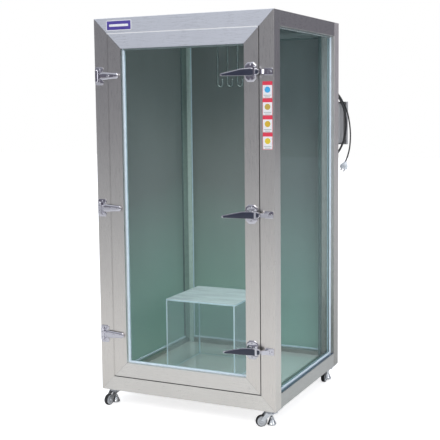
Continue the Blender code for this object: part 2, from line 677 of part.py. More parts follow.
def cord():
    exit_z = BOX_Z - BOX_HALF_H - 0.042 - 3 * GAP
    lead = [
        (BOX_X, LEAD_Y, exit_z),
        (BOX_X, LEAD_Y, exit_z - 0.014),
        (BOX_X - 0.0080, LEAD_Y, exit_z - 0.034),
        (BOX_X - 0.0250, LEAD_Y, exit_z - 0.050),
        (BOX_X - 0.0500, LEAD_Y, exit_z - 0.0530),
        on_coil(238, LEAD_Y),
        on_coil(228, LEAD_Y),
    ]
    tube("cord_lead", smooth_route(lead, 0.018), CORD_D / 2, "black_rubber")
    thick = CORD_D / 2 + 0.0003
    outer = ellipse(COIL_A + thick, COIL_C + thick, 56)
    inner = ellipse(COIL_A - thick, COIL_C - thick, 56)
    coil = outline("cord_coil", outer, 2 * COIL_HALF_Y, "black_rubber", holes=[inner])
    coil.matrix_world = Matrix.Translation((BOX_X, COIL_Y, COIL_Z)) @ Matrix.Rotation(pi / 2, 4, "X")
    tail = [
        on_coil(84, TAIL_Y),
        on_coil(70, TAIL_Y + 0.001),
        on_coil(55, TAIL_Y + 0.004),
        on_coil(42, TAIL_Y + 0.008),
        (0.4660, TAIL_Y + 0.014, BASE + 1.3550),
        (0.4800, TAIL_Y + 0.019, BASE + 1.2950),
        (0.4860, TAIL_Y + 0.022, BASE + 1.2250),
        (0.4820, TAIL_Y + 0.024, BASE + 1.1550),
        (0.4700, TAIL_Y + 0.025, BASE + 1.1050),
        PLUG_END + 0.012 * PLUG_BACK,
        PLUG_END,
    ]
    tube("cord_tail", smooth_route(tail, 0.018), CORD_D / 2, "black_rubber")


def plug():
    """Moulded plug with a collar and flat blades, hanging on the end of the cord."""
    shape = [(-0.0070, 0.0), (0.0070, 0.0), (0.0090, -0.010), (0.0200, -0.022), (0.0205, -0.036), (0.0170, -0.040)]
    shape += [(-0.0170, -0.040), (-0.0205, -0.036), (-0.0200, -0.022), (-0.0090, -0.010)]
    body = outline("plug", shape, 0.024, "white_plastic")
    round_edges(body, 0.0030)
    for i, x in enumerate((-0.0085, 0.0085)):
        join(body, block(f"blade_{i}", (x - 0.0030, -0.055, -0.0009), (x + 0.0030, -0.036, 0.0009), None))
    back = PLUG_BACK
    side = Vector((0, 1, 0)).cross(back).normalized()
    across = side.cross(back).normalized()
    turn = Matrix((side, back, across)).transposed().to_4x4()
    place = Matrix.Translation(PLUG_END - (2 * GAP) * back) @ turn
    for tool in [body, *[step.object for step in body.modifiers if step.type == "BOOLEAN"]]:
        tool.matrix_world = place @ tool.matrix_world


clear_scene()
PARTS = collection("sterilizer_cabinet")
CUTTERS = collection("cutters")
frames()
floor_and_roof()
panes()
door()
for level, height in HARDWARE_HEIGHTS.items():
    hinge(level, height)
    latch(level, height)
for corner in SWIVEL_AT_REST:
    caster(corner)
    levelling_foot(corner)
bench()
hooks()
lamp()
control_box()
cord()
plug()
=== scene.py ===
"""Looks of a walk-up sterilizer cabinet: finishes for its solid parts, and the fine pieces that ride on them.

Metres, +Z up, front towards -Y. Every piece is made in place, in the same coordinates as the solid parts.
"""

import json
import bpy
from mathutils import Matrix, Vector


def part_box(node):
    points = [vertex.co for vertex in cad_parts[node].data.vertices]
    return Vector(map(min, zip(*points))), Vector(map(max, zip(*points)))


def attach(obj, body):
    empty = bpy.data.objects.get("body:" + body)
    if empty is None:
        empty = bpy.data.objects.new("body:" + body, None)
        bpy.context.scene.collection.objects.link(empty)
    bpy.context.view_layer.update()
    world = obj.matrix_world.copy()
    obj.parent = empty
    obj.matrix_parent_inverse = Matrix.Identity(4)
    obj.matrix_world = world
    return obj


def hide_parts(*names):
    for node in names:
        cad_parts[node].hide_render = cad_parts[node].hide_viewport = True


bl_info = {
    "name": "Sterilizer cabinet looks",
    "version": (1, 0, 0),
    "blender": (4, 5, 0),
    "location": "3D View > Sidebar > Cabinet",
    "description": "Finishes and fine pieces for a stainless sterilizer cabinet with glass walls",
    "category": "Object",
}

from math import cos, pi, radians, sin

import bmesh
import bpy
from bpy.props import FloatProperty, FloatVectorProperty, IntProperty, PointerProperty
from bpy.types import Operator, Panel, PropertyGroup
from mathutils import Matrix, Vector

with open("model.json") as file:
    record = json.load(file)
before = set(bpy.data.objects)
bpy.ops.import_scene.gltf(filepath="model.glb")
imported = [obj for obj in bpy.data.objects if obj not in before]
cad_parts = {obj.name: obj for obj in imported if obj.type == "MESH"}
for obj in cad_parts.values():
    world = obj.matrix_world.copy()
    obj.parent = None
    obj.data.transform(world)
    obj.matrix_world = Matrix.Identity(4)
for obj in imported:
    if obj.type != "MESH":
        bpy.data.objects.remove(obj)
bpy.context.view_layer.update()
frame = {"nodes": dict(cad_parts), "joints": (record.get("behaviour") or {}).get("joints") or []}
NODES = frame["nodes"]
JOINTS = {joint["name"]: joint for joint in frame["joints"]}

LEVELS = ("bottom", "middle", "top")
CORNERS = ("front_left", "front_right", "rear_left", "rear_right")
FRAME_LOW, FRAME_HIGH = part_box("front_frame")
LEFT, FRONT, BASE = FRAME_LOW
RIGHT, TOP = FRAME_HIGH.x, FRAME_HIGH.z
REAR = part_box("rear_frame")[1].y
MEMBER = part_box("side_rail_left_top")[1].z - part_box("side_rail_left_top")[0].z
SKIN = 0.0003            # gap between pieces that touch
SHARP = 32.0             # degrees between faces where smooth shading breaks
SENSOR = 36.0            # millimetres
# the heights between which painted light and shade grade the steel and the tinted panes
PAINTED_LIGHT_LOW = BASE + 0.15   # the steel's tone runs between these two heights
PAINTED_LIGHT_HIGH = TOP - 0.35
ALONG, ACROSS = 14.0, 1500.0    # features a metre along and across brush lines
MITRE_LINE = 0.00055     # half the width, along a member, of the fine line where two members meet
CORD = 0.0075            # diameter of the mains lead
OVER = Matrix.Rotation(pi, 4, "X")    # turns a shape to point the other way


# ---- sizes and colours that a user would change ----
def size(name, text, default):
    return FloatProperty(name=name, description=text, default=default, unit="LENGTH", precision=4, min=0.0)


def colour(name, text, default):
    return FloatVectorProperty(
        name=name, description=text, default=default, subtype="COLOR", min=0.0, max=1.0
    )


def number(name, text, default):
    return FloatProperty(name=name, description=text, default=default)


class CabinetSizes(PropertyGroup):
    bead: size("Glazing bead", "Width of the clear bead round each pane", 0.0075)
    screw: size("Screw head", "Radius of the hardware's screw heads", 0.0042)
    label_width: size("Label width", "Width of each label on the right stile", 0.047)
    label_height: size("Label height", "Height of each label on the right stile", 0.0737)
    cord: size("Cord", "Diameter of the mains lead", CORD)
    cord_length: size("Cord length", "Whole length of the mains lead", 3.3)
    wire: size("Hook wire", "Diameter of the hooks' wire", 0.006)
    louvres: IntProperty(name="Louvres", description="Louvres on each side of the case", default=5, min=0)


class CabinetColours(PropertyGroup):
    # painted light and shade by height: uprights lighter and warmer low down (painted floor reflection), top
    # rails bluer (painted light from above), side rails and rear uprights darker low down (painted shade)
    stile_high: colour("Stile, upper", "Brushed steel of the uprights near the top", (0.595, 0.582, 0.560))
    stile_low: colour("Stile, lower", "Brushed steel of the uprights near the floor", (0.745, 0.705, 0.655))
    rail_high: colour("Rail, upper", "Brushed steel of the level members at the top", (0.70, 0.725, 0.785))
    rail_low: colour("Rail, lower", "Brushed steel of the level members at the floor", (0.765, 0.735, 0.690))
    side_high: colour("Side, upper", "Brushed steel of the side rails at the top", (0.60, 0.58, 0.56))
    side_low: colour("Side, lower", "Brushed steel of the side rails at the floor", (0.50, 0.50, 0.48))
    rear_high: colour("Rear upright, upper", "Rear frame near the roof", (0.80, 0.755, 0.735))
    rear_low: colour("Rear upright, lower", "Rear frame near the floor", (0.37, 0.36, 0.335))
    # the roof's colour is darkened to paint the shade on its underside
    roof: colour("Roof", "Brushed steel of the roof panel", (0.42, 0.44, 0.44))
    polished: colour("Polished steel", "Lamp channel", (0.74, 0.76, 0.75))
    pan: colour("Floor pan", "Polished steel of the floor pan", (0.98, 0.95, 0.93))
    chrome: colour("Chrome", "Hinges, latches and keepers", (0.62, 0.61, 0.655))
    # painted shade and light of the tinted panes: dark under the roof, lighter and greener low down
    tint_high: colour("Tint, upper", "Tinted panes near the roof", (0.305, 0.320, 0.320))
    tint_low: colour("Tint, lower", "Tinted panes near the floor", (0.400, 0.590, 0.520))
    # the bright edge is a painted highlight, and the shaded edge a painted shade
    edge: colour("Glass edge", "Bright edges of panes, beads and bench", (0.72, 0.84, 0.93))
    dim_edge: colour("Shaded edge", "Beads that lie in the shade of a rail", (0.15, 0.20, 0.20))
    # a painted highlight down the left rear corner, and the painted shade of the facing beside it
    corner: colour("Corner strip", "Pale strips in the chamber's rear corners", (0.62, 0.72, 0.68))
    corner_shade: colour("Corner facing", "Facing beside the left corner strip", (0.34, 0.43, 0.40))
    # a pale painted reflection of the light from above on the clear bench
    acrylic: colour("Acrylic", "Pale film on the clear bench", (0.88, 0.95, 0.99))
    # painted shade on the ledges below the side panes
    sill: colour("Sill strip", "Strips on the ledges below the side panes", (0.085, 0.115, 0.175))
    hook: colour("Hook wire", "Wire of the hooks", (0.26, 0.31, 0.31))
    grip: colour("Grip", "Dark insert of the levers", (0.018, 0.022, 0.045))
    paint: colour("Paint", "Control box", (0.46, 0.46, 0.465))
    rubber: colour("Rubber", "Seal, gland and switch", (0.022, 0.022, 0.023))
    sheath: colour("Sheath", "Mains lead", (0.016, 0.016, 0.018))
    zinc: colour("Zinc", "Casters and levelling feet", (0.66, 0.68, 0.70))
    wheel: colour("Wheel centre", "Moulded centre of each wheel", (0.62, 0.635, 0.65))
    plug: colour("Plug", "Moulded plug", (0.74, 0.79, 0.84))
    plate: colour("Name plate", "Field of the blank plate", (0.085, 0.060, 0.330))
    header: colour("Label header", "Band across the top of each label", (0.78, 0.050, 0.095))


class CabinetStage(PropertyGroup):
    azimuth: number("Azimuth", "Camera to the right of the front, degrees", 26.0197)
    elevation: number("Elevation", "Camera above level, degrees", 5.9619)
    roll: number("Roll", "Camera turned about its own axis, degrees", -0.6908)
    distance: size("Distance", "Camera to its target", 4.7776)
    focal: number("Focal length", "Focal length over the sensor's width", 2.1259)
    shift_x: number("Shift X", "Sideways lens shift", 0.03)
    shift_y: number("Shift Y", "Upright lens shift", -0.04)
    target: FloatVectorProperty(
        name="Target",
        description="Point that the camera looks at",
        default=(-0.0935, -0.05585, 0.973),
        subtype="XYZ",
    )
    key: number("Key light", "Power of the front light, watts", 65.0)
    fill: number("Fill light", "Power of the right-hand light, watts", 32.0)
    chamber: number("Chamber light", "Power of the light under the roof, watts", 0.9)
    over: number("Overhead light", "Power of the overhead light, watts", 50.0)


# ---- nodes ----
class Value:
    """A number from a node. Python's operators on it add Math nodes."""

    def __init__(self, nodes, socket):
        self.nodes = nodes
        self.socket = socket

    def __add__(self, other):
        return self.nodes.maths("ADD", self, other)

    def __sub__(self, other):
        return self.nodes.maths("SUBTRACT", self, other)

    def __rsub__(self, other):
        return self.nodes.maths("SUBTRACT", other, self)

    def __mul__(self, other):
        return self.nodes.maths("MULTIPLY", self, other)

    def __lt__(self, other):
        return self.nodes.maths("LESS_THAN", self, other)

    def __abs__(self):
        return self.nodes.maths("ABSOLUTE", self)

    __radd__ = __add__
    __rmul__ = __mul__


def vary(middle, pattern, swing):
    """A number that a pattern running from 0 to 1 moves up and down."""
    return middle + (pattern - 0.5) * swing


class Nodes:
    """A node tree, and one way to add any node to it."""

    def __init__(self, tree):
        self.tree = tree
        tree.nodes.clear()

    def node(self, kind, settings=None, inputs=None):
        """A node of a type, with its settings first and then its sockets' values or links."""
        made = self.tree.nodes.new("ShaderNode" + kind)
        for key, value in (settings or {}).items():
            if key == "stops":
                self.set_stops(made.color_ramp, value)
            else:
                setattr(made, key, value)
        for key, value in (inputs or {}).items():
            self.feed(made.inputs[key], value)
        return made

    def set_stops(self, ramp, stops):
        while len(ramp.elements) < len(stops):
            ramp.elements.new(0.5)
        for element, (place, shade) in zip(ramp.elements, stops):
            element.position = place
            element.color = (*shade, 1.0)

    def feed(self, socket, value):
        if isinstance(value, Value):
            value = value.socket
        if isinstance(value, bpy.types.NodeSocket):
            self.tree.links.new(value, socket)
        elif socket.type == "RGBA":
            socket.default_value = (*tuple(value)[:3], 1.0)
        else:
            socket.default_value = value

    def maths(self, operation, *terms):
        made = self.node("Math", {"operation": operation}, dict(enumerate(terms)))
        return Value(self, made.outputs[0])

    def mix(self, one, two, share, way="MIX"):
        """One colour mixed into another."""
        settings = {"data_type": "RGBA", "blend_type": way, "clamp_factor": True}
        return self.node("Mix", settings, {0: share, 6: one, 7: two}).outputs[2]

    def grade(self, value, low, high, start=0.0, end=1.0):
        """A value's run from low to high, read as a run from start to end and held at both."""
        inputs = {"Value": value, "From Min": low, "From Max": high, "To Min": start, "To Max": end}
        return Value(self, self.node("MapRange", {"clamp": True}, inputs).outputs[0])


class Finish(Nodes):
    """A material, with the patterns that drive its shaders."""

    def __init__(self, name):
        self.material = bpy.data.materials.new(name)
        self.material.use_nodes = True
        super().__init__(self.material.node_tree)
        self.output = self.node("OutputMaterial")
        self.place = self.node("TexCoord").outputs["Object"]

    def xyz(self):
        parts = self.node("SeparateXYZ", None, {0: self.place})
        return [Value(self, socket) for socket in parts.outputs]

    def noise(self, across, detail=3.0, harsh=0.5):
        """Cloudy noise from 0 to 1: features a metre, as one number or as one along each axis."""
        across = across if isinstance(across, tuple) else (across,) * 3
        stretched = self.node("VectorMath", {"operation": "MULTIPLY"}, {0: self.place, 1: across})
        inputs = {"Vector": stretched.outputs[0], "Scale": 1.0, "Detail": detail, "Roughness": harsh}
        return Value(self, self.node("TexNoise", None, inputs).outputs[0])

    def shade(self, base, amount):
        """A colour made darker and lighter by a value about 1."""
        grey = self.node("CombineXYZ", None, {0: amount, 1: amount, 2: amount}).outputs[0]
        return self.node("VectorMath", {"operation": "MULTIPLY"}, {0: base, 1: grey}).outputs[0]

    def bump(self, height, distance, strength=1.0):
        inputs = {"Height": height, "Distance": distance, "Strength": strength}
        return self.node("Bump", None, inputs).outputs[0]

    def principled(self, **inputs):
        named = {key.replace("_", " ").title().replace("Ior", "IOR"): value for key, value in inputs.items()}
        return self.node("BsdfPrincipled", None, named).outputs[0]

    def surface(self, shader):
        self.feed(self.output.inputs["Surface"], shader)
        return self.material

    def solid(self, base, tone, roughness, **inputs):
        """One opaque shader: a colour made darker and lighter by a tone, and a roughness."""
        return self.surface(self.principled(base_color=self.shade(base, tone), roughness=roughness, **inputs))

    def clear(self, see, shader, share):
        """A shader laid over clear glass by a share, with what is behind the glass seen through its tint."""
        through = self.node("BsdfTransparent", None, {"Color": see}).outputs[0]
        return self.surface(self.node("MixShader", None, {0: share, 1: through, 2: shader}).outputs[0])


def colours():
    return bpy.context.scene.cabinet_colours


def sizes():
    return bpy.context.scene.cabinet_sizes


# ---- finishes ----
def brushed(made, grain, base, metallic=1.0):
    """Brushed stainless: base is a colour, and grain runs from 0 to 1 across the brush lines."""
    cloud = made.noise(3.1, 2.0)
    smudge = made.noise((11.0, 11.0, 7.0), 4.0, 0.6)
    tone = vary(vary(1.0, grain, 0.16), cloud, 0.10)
    rough = vary(vary(0.29, grain, 0.14), smudge, 0.05)
    return made.solid(base, tone, rough, metallic=metallic, normal=made.bump(grain, 0.00004, 0.35))


def ring_steel(made, low, high, rails, stiles, metallic=1.0):
    """Brushed steel of a rectangular frame: grain along each member, a mitre across each corner, and painted
    light and shade that change with height.
    """
    x, _, z = made.xyz()
    middle = (low + high) / 2
    from_side = (high.x - low.x) / 2 - abs(x - middle.x)
    from_end = (high.z - low.z) / 2 - abs(z - middle.z)
    upright = from_side < from_end
    mitre = abs(from_side - from_end) < MITRE_LINE
    level_grain = made.noise((ALONG, ACROSS, ACROSS), 2.0, 0.7)
    upright_grain = made.noise((ACROSS, ACROSS, ALONG), 2.0, 0.7)
    grain = level_grain + (upright_grain - level_grain) * upright
    # painted light and shade by height: each member runs from its lower to its upper shade
    rise = made.grade(z, PAINTED_LIGHT_LOW, PAINTED_LIGHT_HIGH)
    shades = colours()
    rail = made.mix(getattr(shades, rails[0]), getattr(shades, rails[1]), rise)
    stile = made.mix(getattr(shades, stiles[0]), getattr(shades, stiles[1]), rise)
    base = made.mix(rail, stile, upright)
    bloom = (1.0 - upright) * rise * 0.55      # level brush lines catch the light from above
    return brushed(made, grain - mitre * 0.8, made.shade(base, 1.0 - mitre * 0.45), (1.0 - bloom) * metallic)


def rail_steel(made):
    grain = made.noise((ACROSS, ALONG, ACROSS), 2.0, 0.7)
    # painted shade by height: the side rails darker near the floor
    rise = made.grade(made.xyz()[2], PAINTED_LIGHT_LOW, PAINTED_LIGHT_HIGH)
    return brushed(made, grain, made.mix(colours().side_low, colours().side_high, rise))


def roof_steel(made):
    # the roof colour's darkness is painted shade on its underside
    return brushed(made, made.noise((ALONG, ACROSS, ACROSS), 2.0, 0.7), colours().roof)


def wiped(shade_name, metallic, rough, dull):
    """A maker of polished sheet with fine wiping marks, and a dull film that comes and goes."""

    def make(made):
        wipe = made.noise((9.0, 260.0, 260.0), 3.0, 0.7)
        cloud = made.noise(5.0, 3.0)
        return made.solid(
            getattr(colours(), shade_name),
            vary(1.0, cloud, 0.12),
            vary(vary(rough, wipe, 0.06), cloud, dull),
            metallic=metallic,
            normal=made.bump(wipe, 0.00004, 0.15),
        )

    return make


def hook_steel(made):
    """Drawn wire, dull in the shade of the roof."""
    draw = made.noise((300.0, 300.0, 20.0), 3.0)
    return made.solid(colours().hook, vary(1.0, draw, 0.20), vary(0.25, draw, 0.12), metallic=0.8)


def chrome(made):
    """Bright plating over a cast body, with a slight orange peel and dull handling marks."""
    peel = made.noise(420.0, 2.0)
    smear = made.noise(38.0, 4.0, 0.65)
    rough = 0.055 + made.grade(smear, 0.5, 0.8, 0.0, 0.13)
    normal = made.bump(peel, 0.00005, 0.25)
    return made.solid(colours().chrome, vary(1.0, smear, 0.10), rough, metallic=1.0, normal=normal)


def zinc(made):
    """Bright zinc plate, a little cloudy."""
    cloud = made.noise(60.0, 4.0, 0.7)
    tone, rough = vary(1.0, cloud, 0.30), vary(0.27, cloud, 0.20)
    return made.solid(colours().zinc, tone, rough, metallic=1.0, normal=made.bump(cloud, 0.00008, 0.3))


def pane(see, bend=1.12, haze=0.0):
    """A maker of thin clear glass, whose gloss grows towards a glancing angle."""

    def make(made):
        smear = made.noise((16.0, 16.0, 5.0), 4.0, 0.6)
        rough = 0.02 + made.grade(smear, 0.45, 0.9, 0.0, 0.09)
        gloss = made.principled(base_color=(0.8, 0.86, 0.9), metallic=1.0, roughness=rough)
        angle = Value(made, made.node("Fresnel", None, {"IOR": bend}).outputs[0])
        inside = Value(made, made.node("NewGeometry").outputs["Backfacing"])
        return made.clear(see, gloss, (angle + haze) * (1.0 - inside))

    return make


def acrylic(body_share, uneven=0.25):
    """A maker of clear acrylic under a pale film that paints its reflection of the light from above, made
    uneven by fine scratches and smears.
    """

    def make(made):
        scratch = made.noise((160.0, 160.0, 30.0), 4.0, 0.7)
        smear = made.noise((5.0, 26.0, 5.0), 3.0, 0.6)
        base = made.shade(colours().acrylic, vary(1.0, scratch, 0.12))
        body = made.principled(base_color=base, roughness=vary(0.14, scratch, 0.14))
        share = body_share + ((scratch - 0.5) * 0.25 + (smear - 0.5) * uneven) * body_share
        return made.clear((0.95, 0.98, 0.98), body, share)

    return make


def tinted_pane(made):
    """Dark green-grey glass, a little of what is behind it showing through, with painted shade that darkens
    it towards the roof and faint painted reflections in vertical streaks.
    """
    shades = colours()
    cloud = made.noise((1.6, 1.6, 1.1), 3.0, 0.6)
    # faint painted reflections in vertical streaks
    reflection_streak = made.noise((30.0, 30.0, 2.0), 2.0)
    # painted shade and light by height: darker towards the roof, lighter low down
    rise = made.grade(vary(made.xyz()[2], cloud, 0.30), PAINTED_LIGHT_LOW, BASE + 0.95)
    tone = vary(vary(1.0, cloud, 0.22), reflection_streak, 0.06)
    body = made.principled(
        base_color=made.shade(made.mix(shades.tint_low, shades.tint_high, rise), tone),
        roughness=vary(0.07, cloud, 0.04),
        specular_ior_level=0.5,
    )
    return made.clear((0.34, 0.50, 0.46), body, 0.93)


def edge_of(shade_name):
    """A maker of the smooth edge of cut glass, and of the clear bead that holds it, in a colour that paints
    its highlight or its shade.
    """

    def make(made):
        ripple = made.noise(45.0, 3.0)
        shade = getattr(colours(), shade_name)
        tone, rough = vary(1.0, ripple, 0.25), vary(0.16, ripple, 0.10)
        return made.solid(shade, tone, rough, coat_weight=0.6, normal=made.bump(ripple, 0.0004, 0.15))

    return make


def moulded(shade_name, rough, grain_size, depth, coat=0.0):
    """A maker of moulded plastic, rubber or paint in one colour, with its own fine grain."""

    def make(made):
        grain = made.noise(grain_size, 3.0, 0.6)
        wear = made.noise(24.0, 3.0)
        shade = getattr(colours(), shade_name)
        tone, worn = vary(1.0, wear, 0.28), vary(rough, wear, 0.12)
        return made.solid(shade, tone, worn, coat_weight=coat, normal=made.bump(grain, depth, 0.5))

    return make


def card(shade):
    """A maker of printed label stock in one colour."""

    def make(made):
        fibre = made.noise(700.0, 2.0)
        tone, rough = vary(1.0, fibre, 0.06), vary(0.42, fibre, 0.08)
        return made.solid(shade, tone, rough, coat_weight=0.3, normal=made.bump(fibre, 0.00002, 0.2))

    return make


FINISHES = {
    "rail_steel": rail_steel,
    "roof_steel": roof_steel,
    "pan_steel": wiped("pan", 0.5, 0.05, 0.06),
    "hook_steel": hook_steel,
    "polished_steel": wiped("polished", 1.0, 0.07, 0.05),
    "chrome": chrome,
    "zinc": zinc,
    "clear_pane": pane((0.94, 0.97, 0.96)),
    "side_pane": pane((0.87, 0.93, 0.925)),
    "tinted_pane": tinted_pane,
    "bench_wall": acrylic(0.15),
    "bench_seat": acrylic(0.70, 1.1),
    "glass_edge": edge_of("edge"),
    "shaded_edge": edge_of("dim_edge"),
    "corner_strip": edge_of("corner"),
    "corner_face": edge_of("corner_shade"),
    "lamp_glass": pane((0.95, 0.97, 1.0), 1.45, 0.02),
    "grip": moulded("grip", 0.34, 900.0, 0.00005, 0.25),
    "paint": moulded("paint", 0.42, 520.0, 0.00010, 0.15),
    "sill": moulded("sill", 0.16, 300.0, 0.00003, 0.4),
    "rubber": moulded("rubber", 0.62, 700.0, 0.00008),
    "sheath": moulded("sheath", 0.40, 600.0, 0.00004, 0.1),
    "wheel_centre": moulded("wheel", 0.45, 600.0, 0.00006),
    "plug_plastic": moulded("plug", 0.30, 500.0, 0.00003, 0.2),
    "plate_field": moulded("plate", 0.28, 400.0, 0.00002, 0.5),
    "label_header": moulded("header", 0.36, 500.0, 0.00002, 0.3),
    # a white painted highlight along the top of the door's gap
    "bright_strip": card((0.98, 0.98, 0.99)),
    "label_card": card((0.86, 0.86, 0.88)),
    "label_blue": card((0.060, 0.42, 0.80)),
    "label_gold": card((0.56, 0.40, 0.075)),
    "label_amber": card((0.70, 0.46, 0.035)),
    "label_yellow": card((0.80, 0.60, 0.040)),
    "label_line": card((0.42, 0.48, 0.47)),
}


def look(finish):
    """A finish by its name, made the first time that it is asked for. A material is given back as it is."""
    if not isinstance(finish, str):
        return finish
    return bpy.data.materials.get(finish) or FINISHES[finish](Finish(finish))


def dress(node, finish):
    """Gives a solid part its finish, and smooths its shading across shallow edges."""
    thing = NODES[node]
    for slot in thing.material_slots:
        slot.material = look(finish)
    thing.data.shade_smooth()
    thing.data.set_sharp_from_angle(angle=radians(SHARP))


# ---- shapes ----
def at(x, y, z):
    return Matrix.Translation((x, y, z))


def end(way):
    """Leaves a shape as it is for 1, and turns it over for -1."""
    return OVER if way < 0 else Matrix.Identity(4)


def arc(centre_x, centre_y, radius, start, end, count):
    """Points on a circle from one angle in degrees to another."""
    turns = [radians(start + (end - start) * i / (count - 1)) for i in range(count)]
    return [(centre_x + radius * cos(t), centre_y + radius * sin(t)) for t in turns]


def rounded(low_x, low_y, high_x, high_y, radius, count=6):
    """A rectangle with rounded corners, anticlockwise."""
    r = radius
    return (
        arc(high_x - r, high_y - r, r, 0, 90, count)
        + arc(low_x + r, high_y - r, r, 90, 180, count)
        + arc(low_x + r, low_y + r, r, 180, 270, count)
        + arc(high_x - r, low_y + r, r, 270, 360, count)
    )


def disc(centre_x, centre_y, radius, count=32):
    return arc(centre_x, centre_y, radius, 0, 360 * (count - 1) / count, count)


def band(bm, one, two, material=0):
    """Faces between two rings with the same number of points."""
    for i in range(len(one)):
        j = (i + 1) % len(one)
        bm.faces.new((one[i], one[j], two[j], two[i])).material_index = material


def prism(bm, outline, low, high, place, material=0):
    """An anticlockwise outline in local XY, from one local height to another. Gives its upper face."""
    bottom = [bm.verts.new(place @ Vector((x, y, low))) for x, y in outline]
    top = [bm.verts.new(place @ Vector((x, y, high))) for x, y in outline]
    lower, upper = bm.faces.new(list(reversed(bottom))), bm.faces.new(top)
    lower.material_index = upper.material_index = material
    band(bm, bottom, top, material)
    return upper


def crown(bm, face, width, height, steps=4):
    """Rounds a flat face over towards its middle, like a quarter of an ellipse."""
    for i in range(steps):
        start, end = pi / 2 * i / steps, pi / 2 * (i + 1) / steps
        inward = width * (cos(start) - cos(end))
        rise = height * (sin(end) - sin(start))
        bmesh.ops.inset_individual(bm, faces=[face], thickness=inward, depth=rise, use_even_offset=True)


def lathe(bm, profile, steps, place, material=0, closed=False):
    """A profile of (radius, height) turned about local Z, anticlockwise as seen with the axis on the left."""
    rings = []
    for radius, height in profile:
        spots = disc(0.0, 0.0, radius, steps) if radius > 1e-6 else [(0.0, 0.0)]
        rings.append([bm.verts.new(place @ Vector((x, y, height))) for x, y in spots])
    pairs = list(zip(rings, rings[1:]))
    if closed:
        pairs.append((rings[-1], rings[0]))
    for low, high in pairs:
        for i in range(steps):
            j = (i + 1) % steps
            corners = (low[i % len(low)], low[j % len(low)], high[j % len(high)], high[i % len(high)])
            corners = list(dict.fromkeys(corners))    # a ring that is one point gives a corner twice
            if len(corners) > 2:
                bm.faces.new(corners).material_index = material


def slab(bm, low, high, material=0, place=Matrix.Identity(4)):
    """A box between two corners."""
    low, high = Vector(low), Vector(high)
    shape = Matrix.Translation((low + high) / 2) @ Matrix.Diagonal((*(high - low), 1.0))
    made = bmesh.ops.create_cube(bm, size=1.0, matrix=place @ shape)
    for face in {face for vert in made["verts"] for face in vert.link_faces}:
        face.material_index = material
    return made["verts"]


def sweep(bm, points, radius, sides=12, material=0, radii=None):
    """A round bar along a smooth line of points, with rounded ends."""
    stops = [Vector(p) for p in points]
    radii = list(radii or [radius] * len(stops))
    first, last = (stops[0] - stops[1]).normalized(), (stops[-1] - stops[-2]).normalized()
    stops = [stops[0] + first * radii[0] * 0.5, *stops, stops[-1] + last * radii[-1] * 0.5]
    radii = [radii[0] * 0.6, *radii, radii[-1] * 0.6]
    ahead = [(b - a).normalized() for a, b in zip(stops, stops[1:])]
    ahead.append(ahead[-1])
    side = ahead[0].orthogonal().normalized()
    rings = []
    for stop, way, thick in zip(stops, ahead, radii):
        side = (side - way * side.dot(way)).normalized()
        other = way.cross(side)
        turns = [2 * pi * i / sides for i in range(sides)]
        rings.append([bm.verts.new(stop + (side * cos(t) + other * sin(t)) * thick) for t in turns])
    for one, two in zip(rings, rings[1:]):
        band(bm, one, two, material)
    bm.faces.new(list(reversed(rings[0]))).material_index = material
    bm.faces.new(rings[-1]).material_index = material


def moulding(bm, low, high, profile, place, sides=(0, 0, 0, 0)):
    """A mitred moulding inside a rectangle in local XY. The profile is (distance inwards, local height).

    The sides are the materials of its low, right, high and left sides."""
    rings = []
    for inward, height in profile:
        x0, y0, x1, y1 = low[0] + inward, low[1] + inward, high[0] - inward, high[1] - inward
        corners = ((x0, y0), (x1, y0), (x1, y1), (x0, y1))
        rings.append([bm.verts.new(place @ Vector((x, y, height))) for x, y in corners])
    for one, two in zip(rings, rings[1:] + rings[:1]):
        for i in range(4):
            j = (i + 1) % 4
            bm.faces.new((one[i], one[j], two[j], two[i])).material_index = sides[i]


def add_object(name, data):
    thing = bpy.data.objects.new(name, data)
    bpy.context.scene.collection.objects.link(thing)
    return thing


def piece(name, bm, looks, body, replaces=(), bevel=0.0, segments=2, sharp=SHARP):
    """Turns a bmesh into a piece of the cabinet that rides on one of its bodies."""
    bmesh.ops.recalc_face_normals(bm, faces=bm.faces)
    data = bpy.data.meshes.new(name)
    bm.to_mesh(data)
    bm.free()
    for finish in looks:
        data.materials.append(look(finish))
    data.shade_smooth()
    data.set_sharp_from_angle(angle=radians(sharp))
    thing = add_object(name, data)
    if bevel:
        edge = thing.modifiers.new("edges", "BEVEL")
        edge.width = bevel
        edge.segments = segments
        edge.limit_method = "ANGLE"
        edge.angle_limit = radians(40)
        edge.harden_normals = True
    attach(thing, body)
    if replaces:
        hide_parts(*replaces)
    return thing


def facing(x, y, z):
    """Local XY becomes the front face's XZ, and local Z points out of the front."""
    return at(x, y, z) @ Matrix.Rotation(pi / 2, 4, "X")


def backward(x, y, z):
    """Local X runs to the left as seen from the front, local Y up, and local Z out of the back."""
    return at(x, y, z) @ Matrix(((-1, 0, 0, 0), (0, 0, 1, 0), (0, 1, 0, 0), (0, 0, 0, 1)))


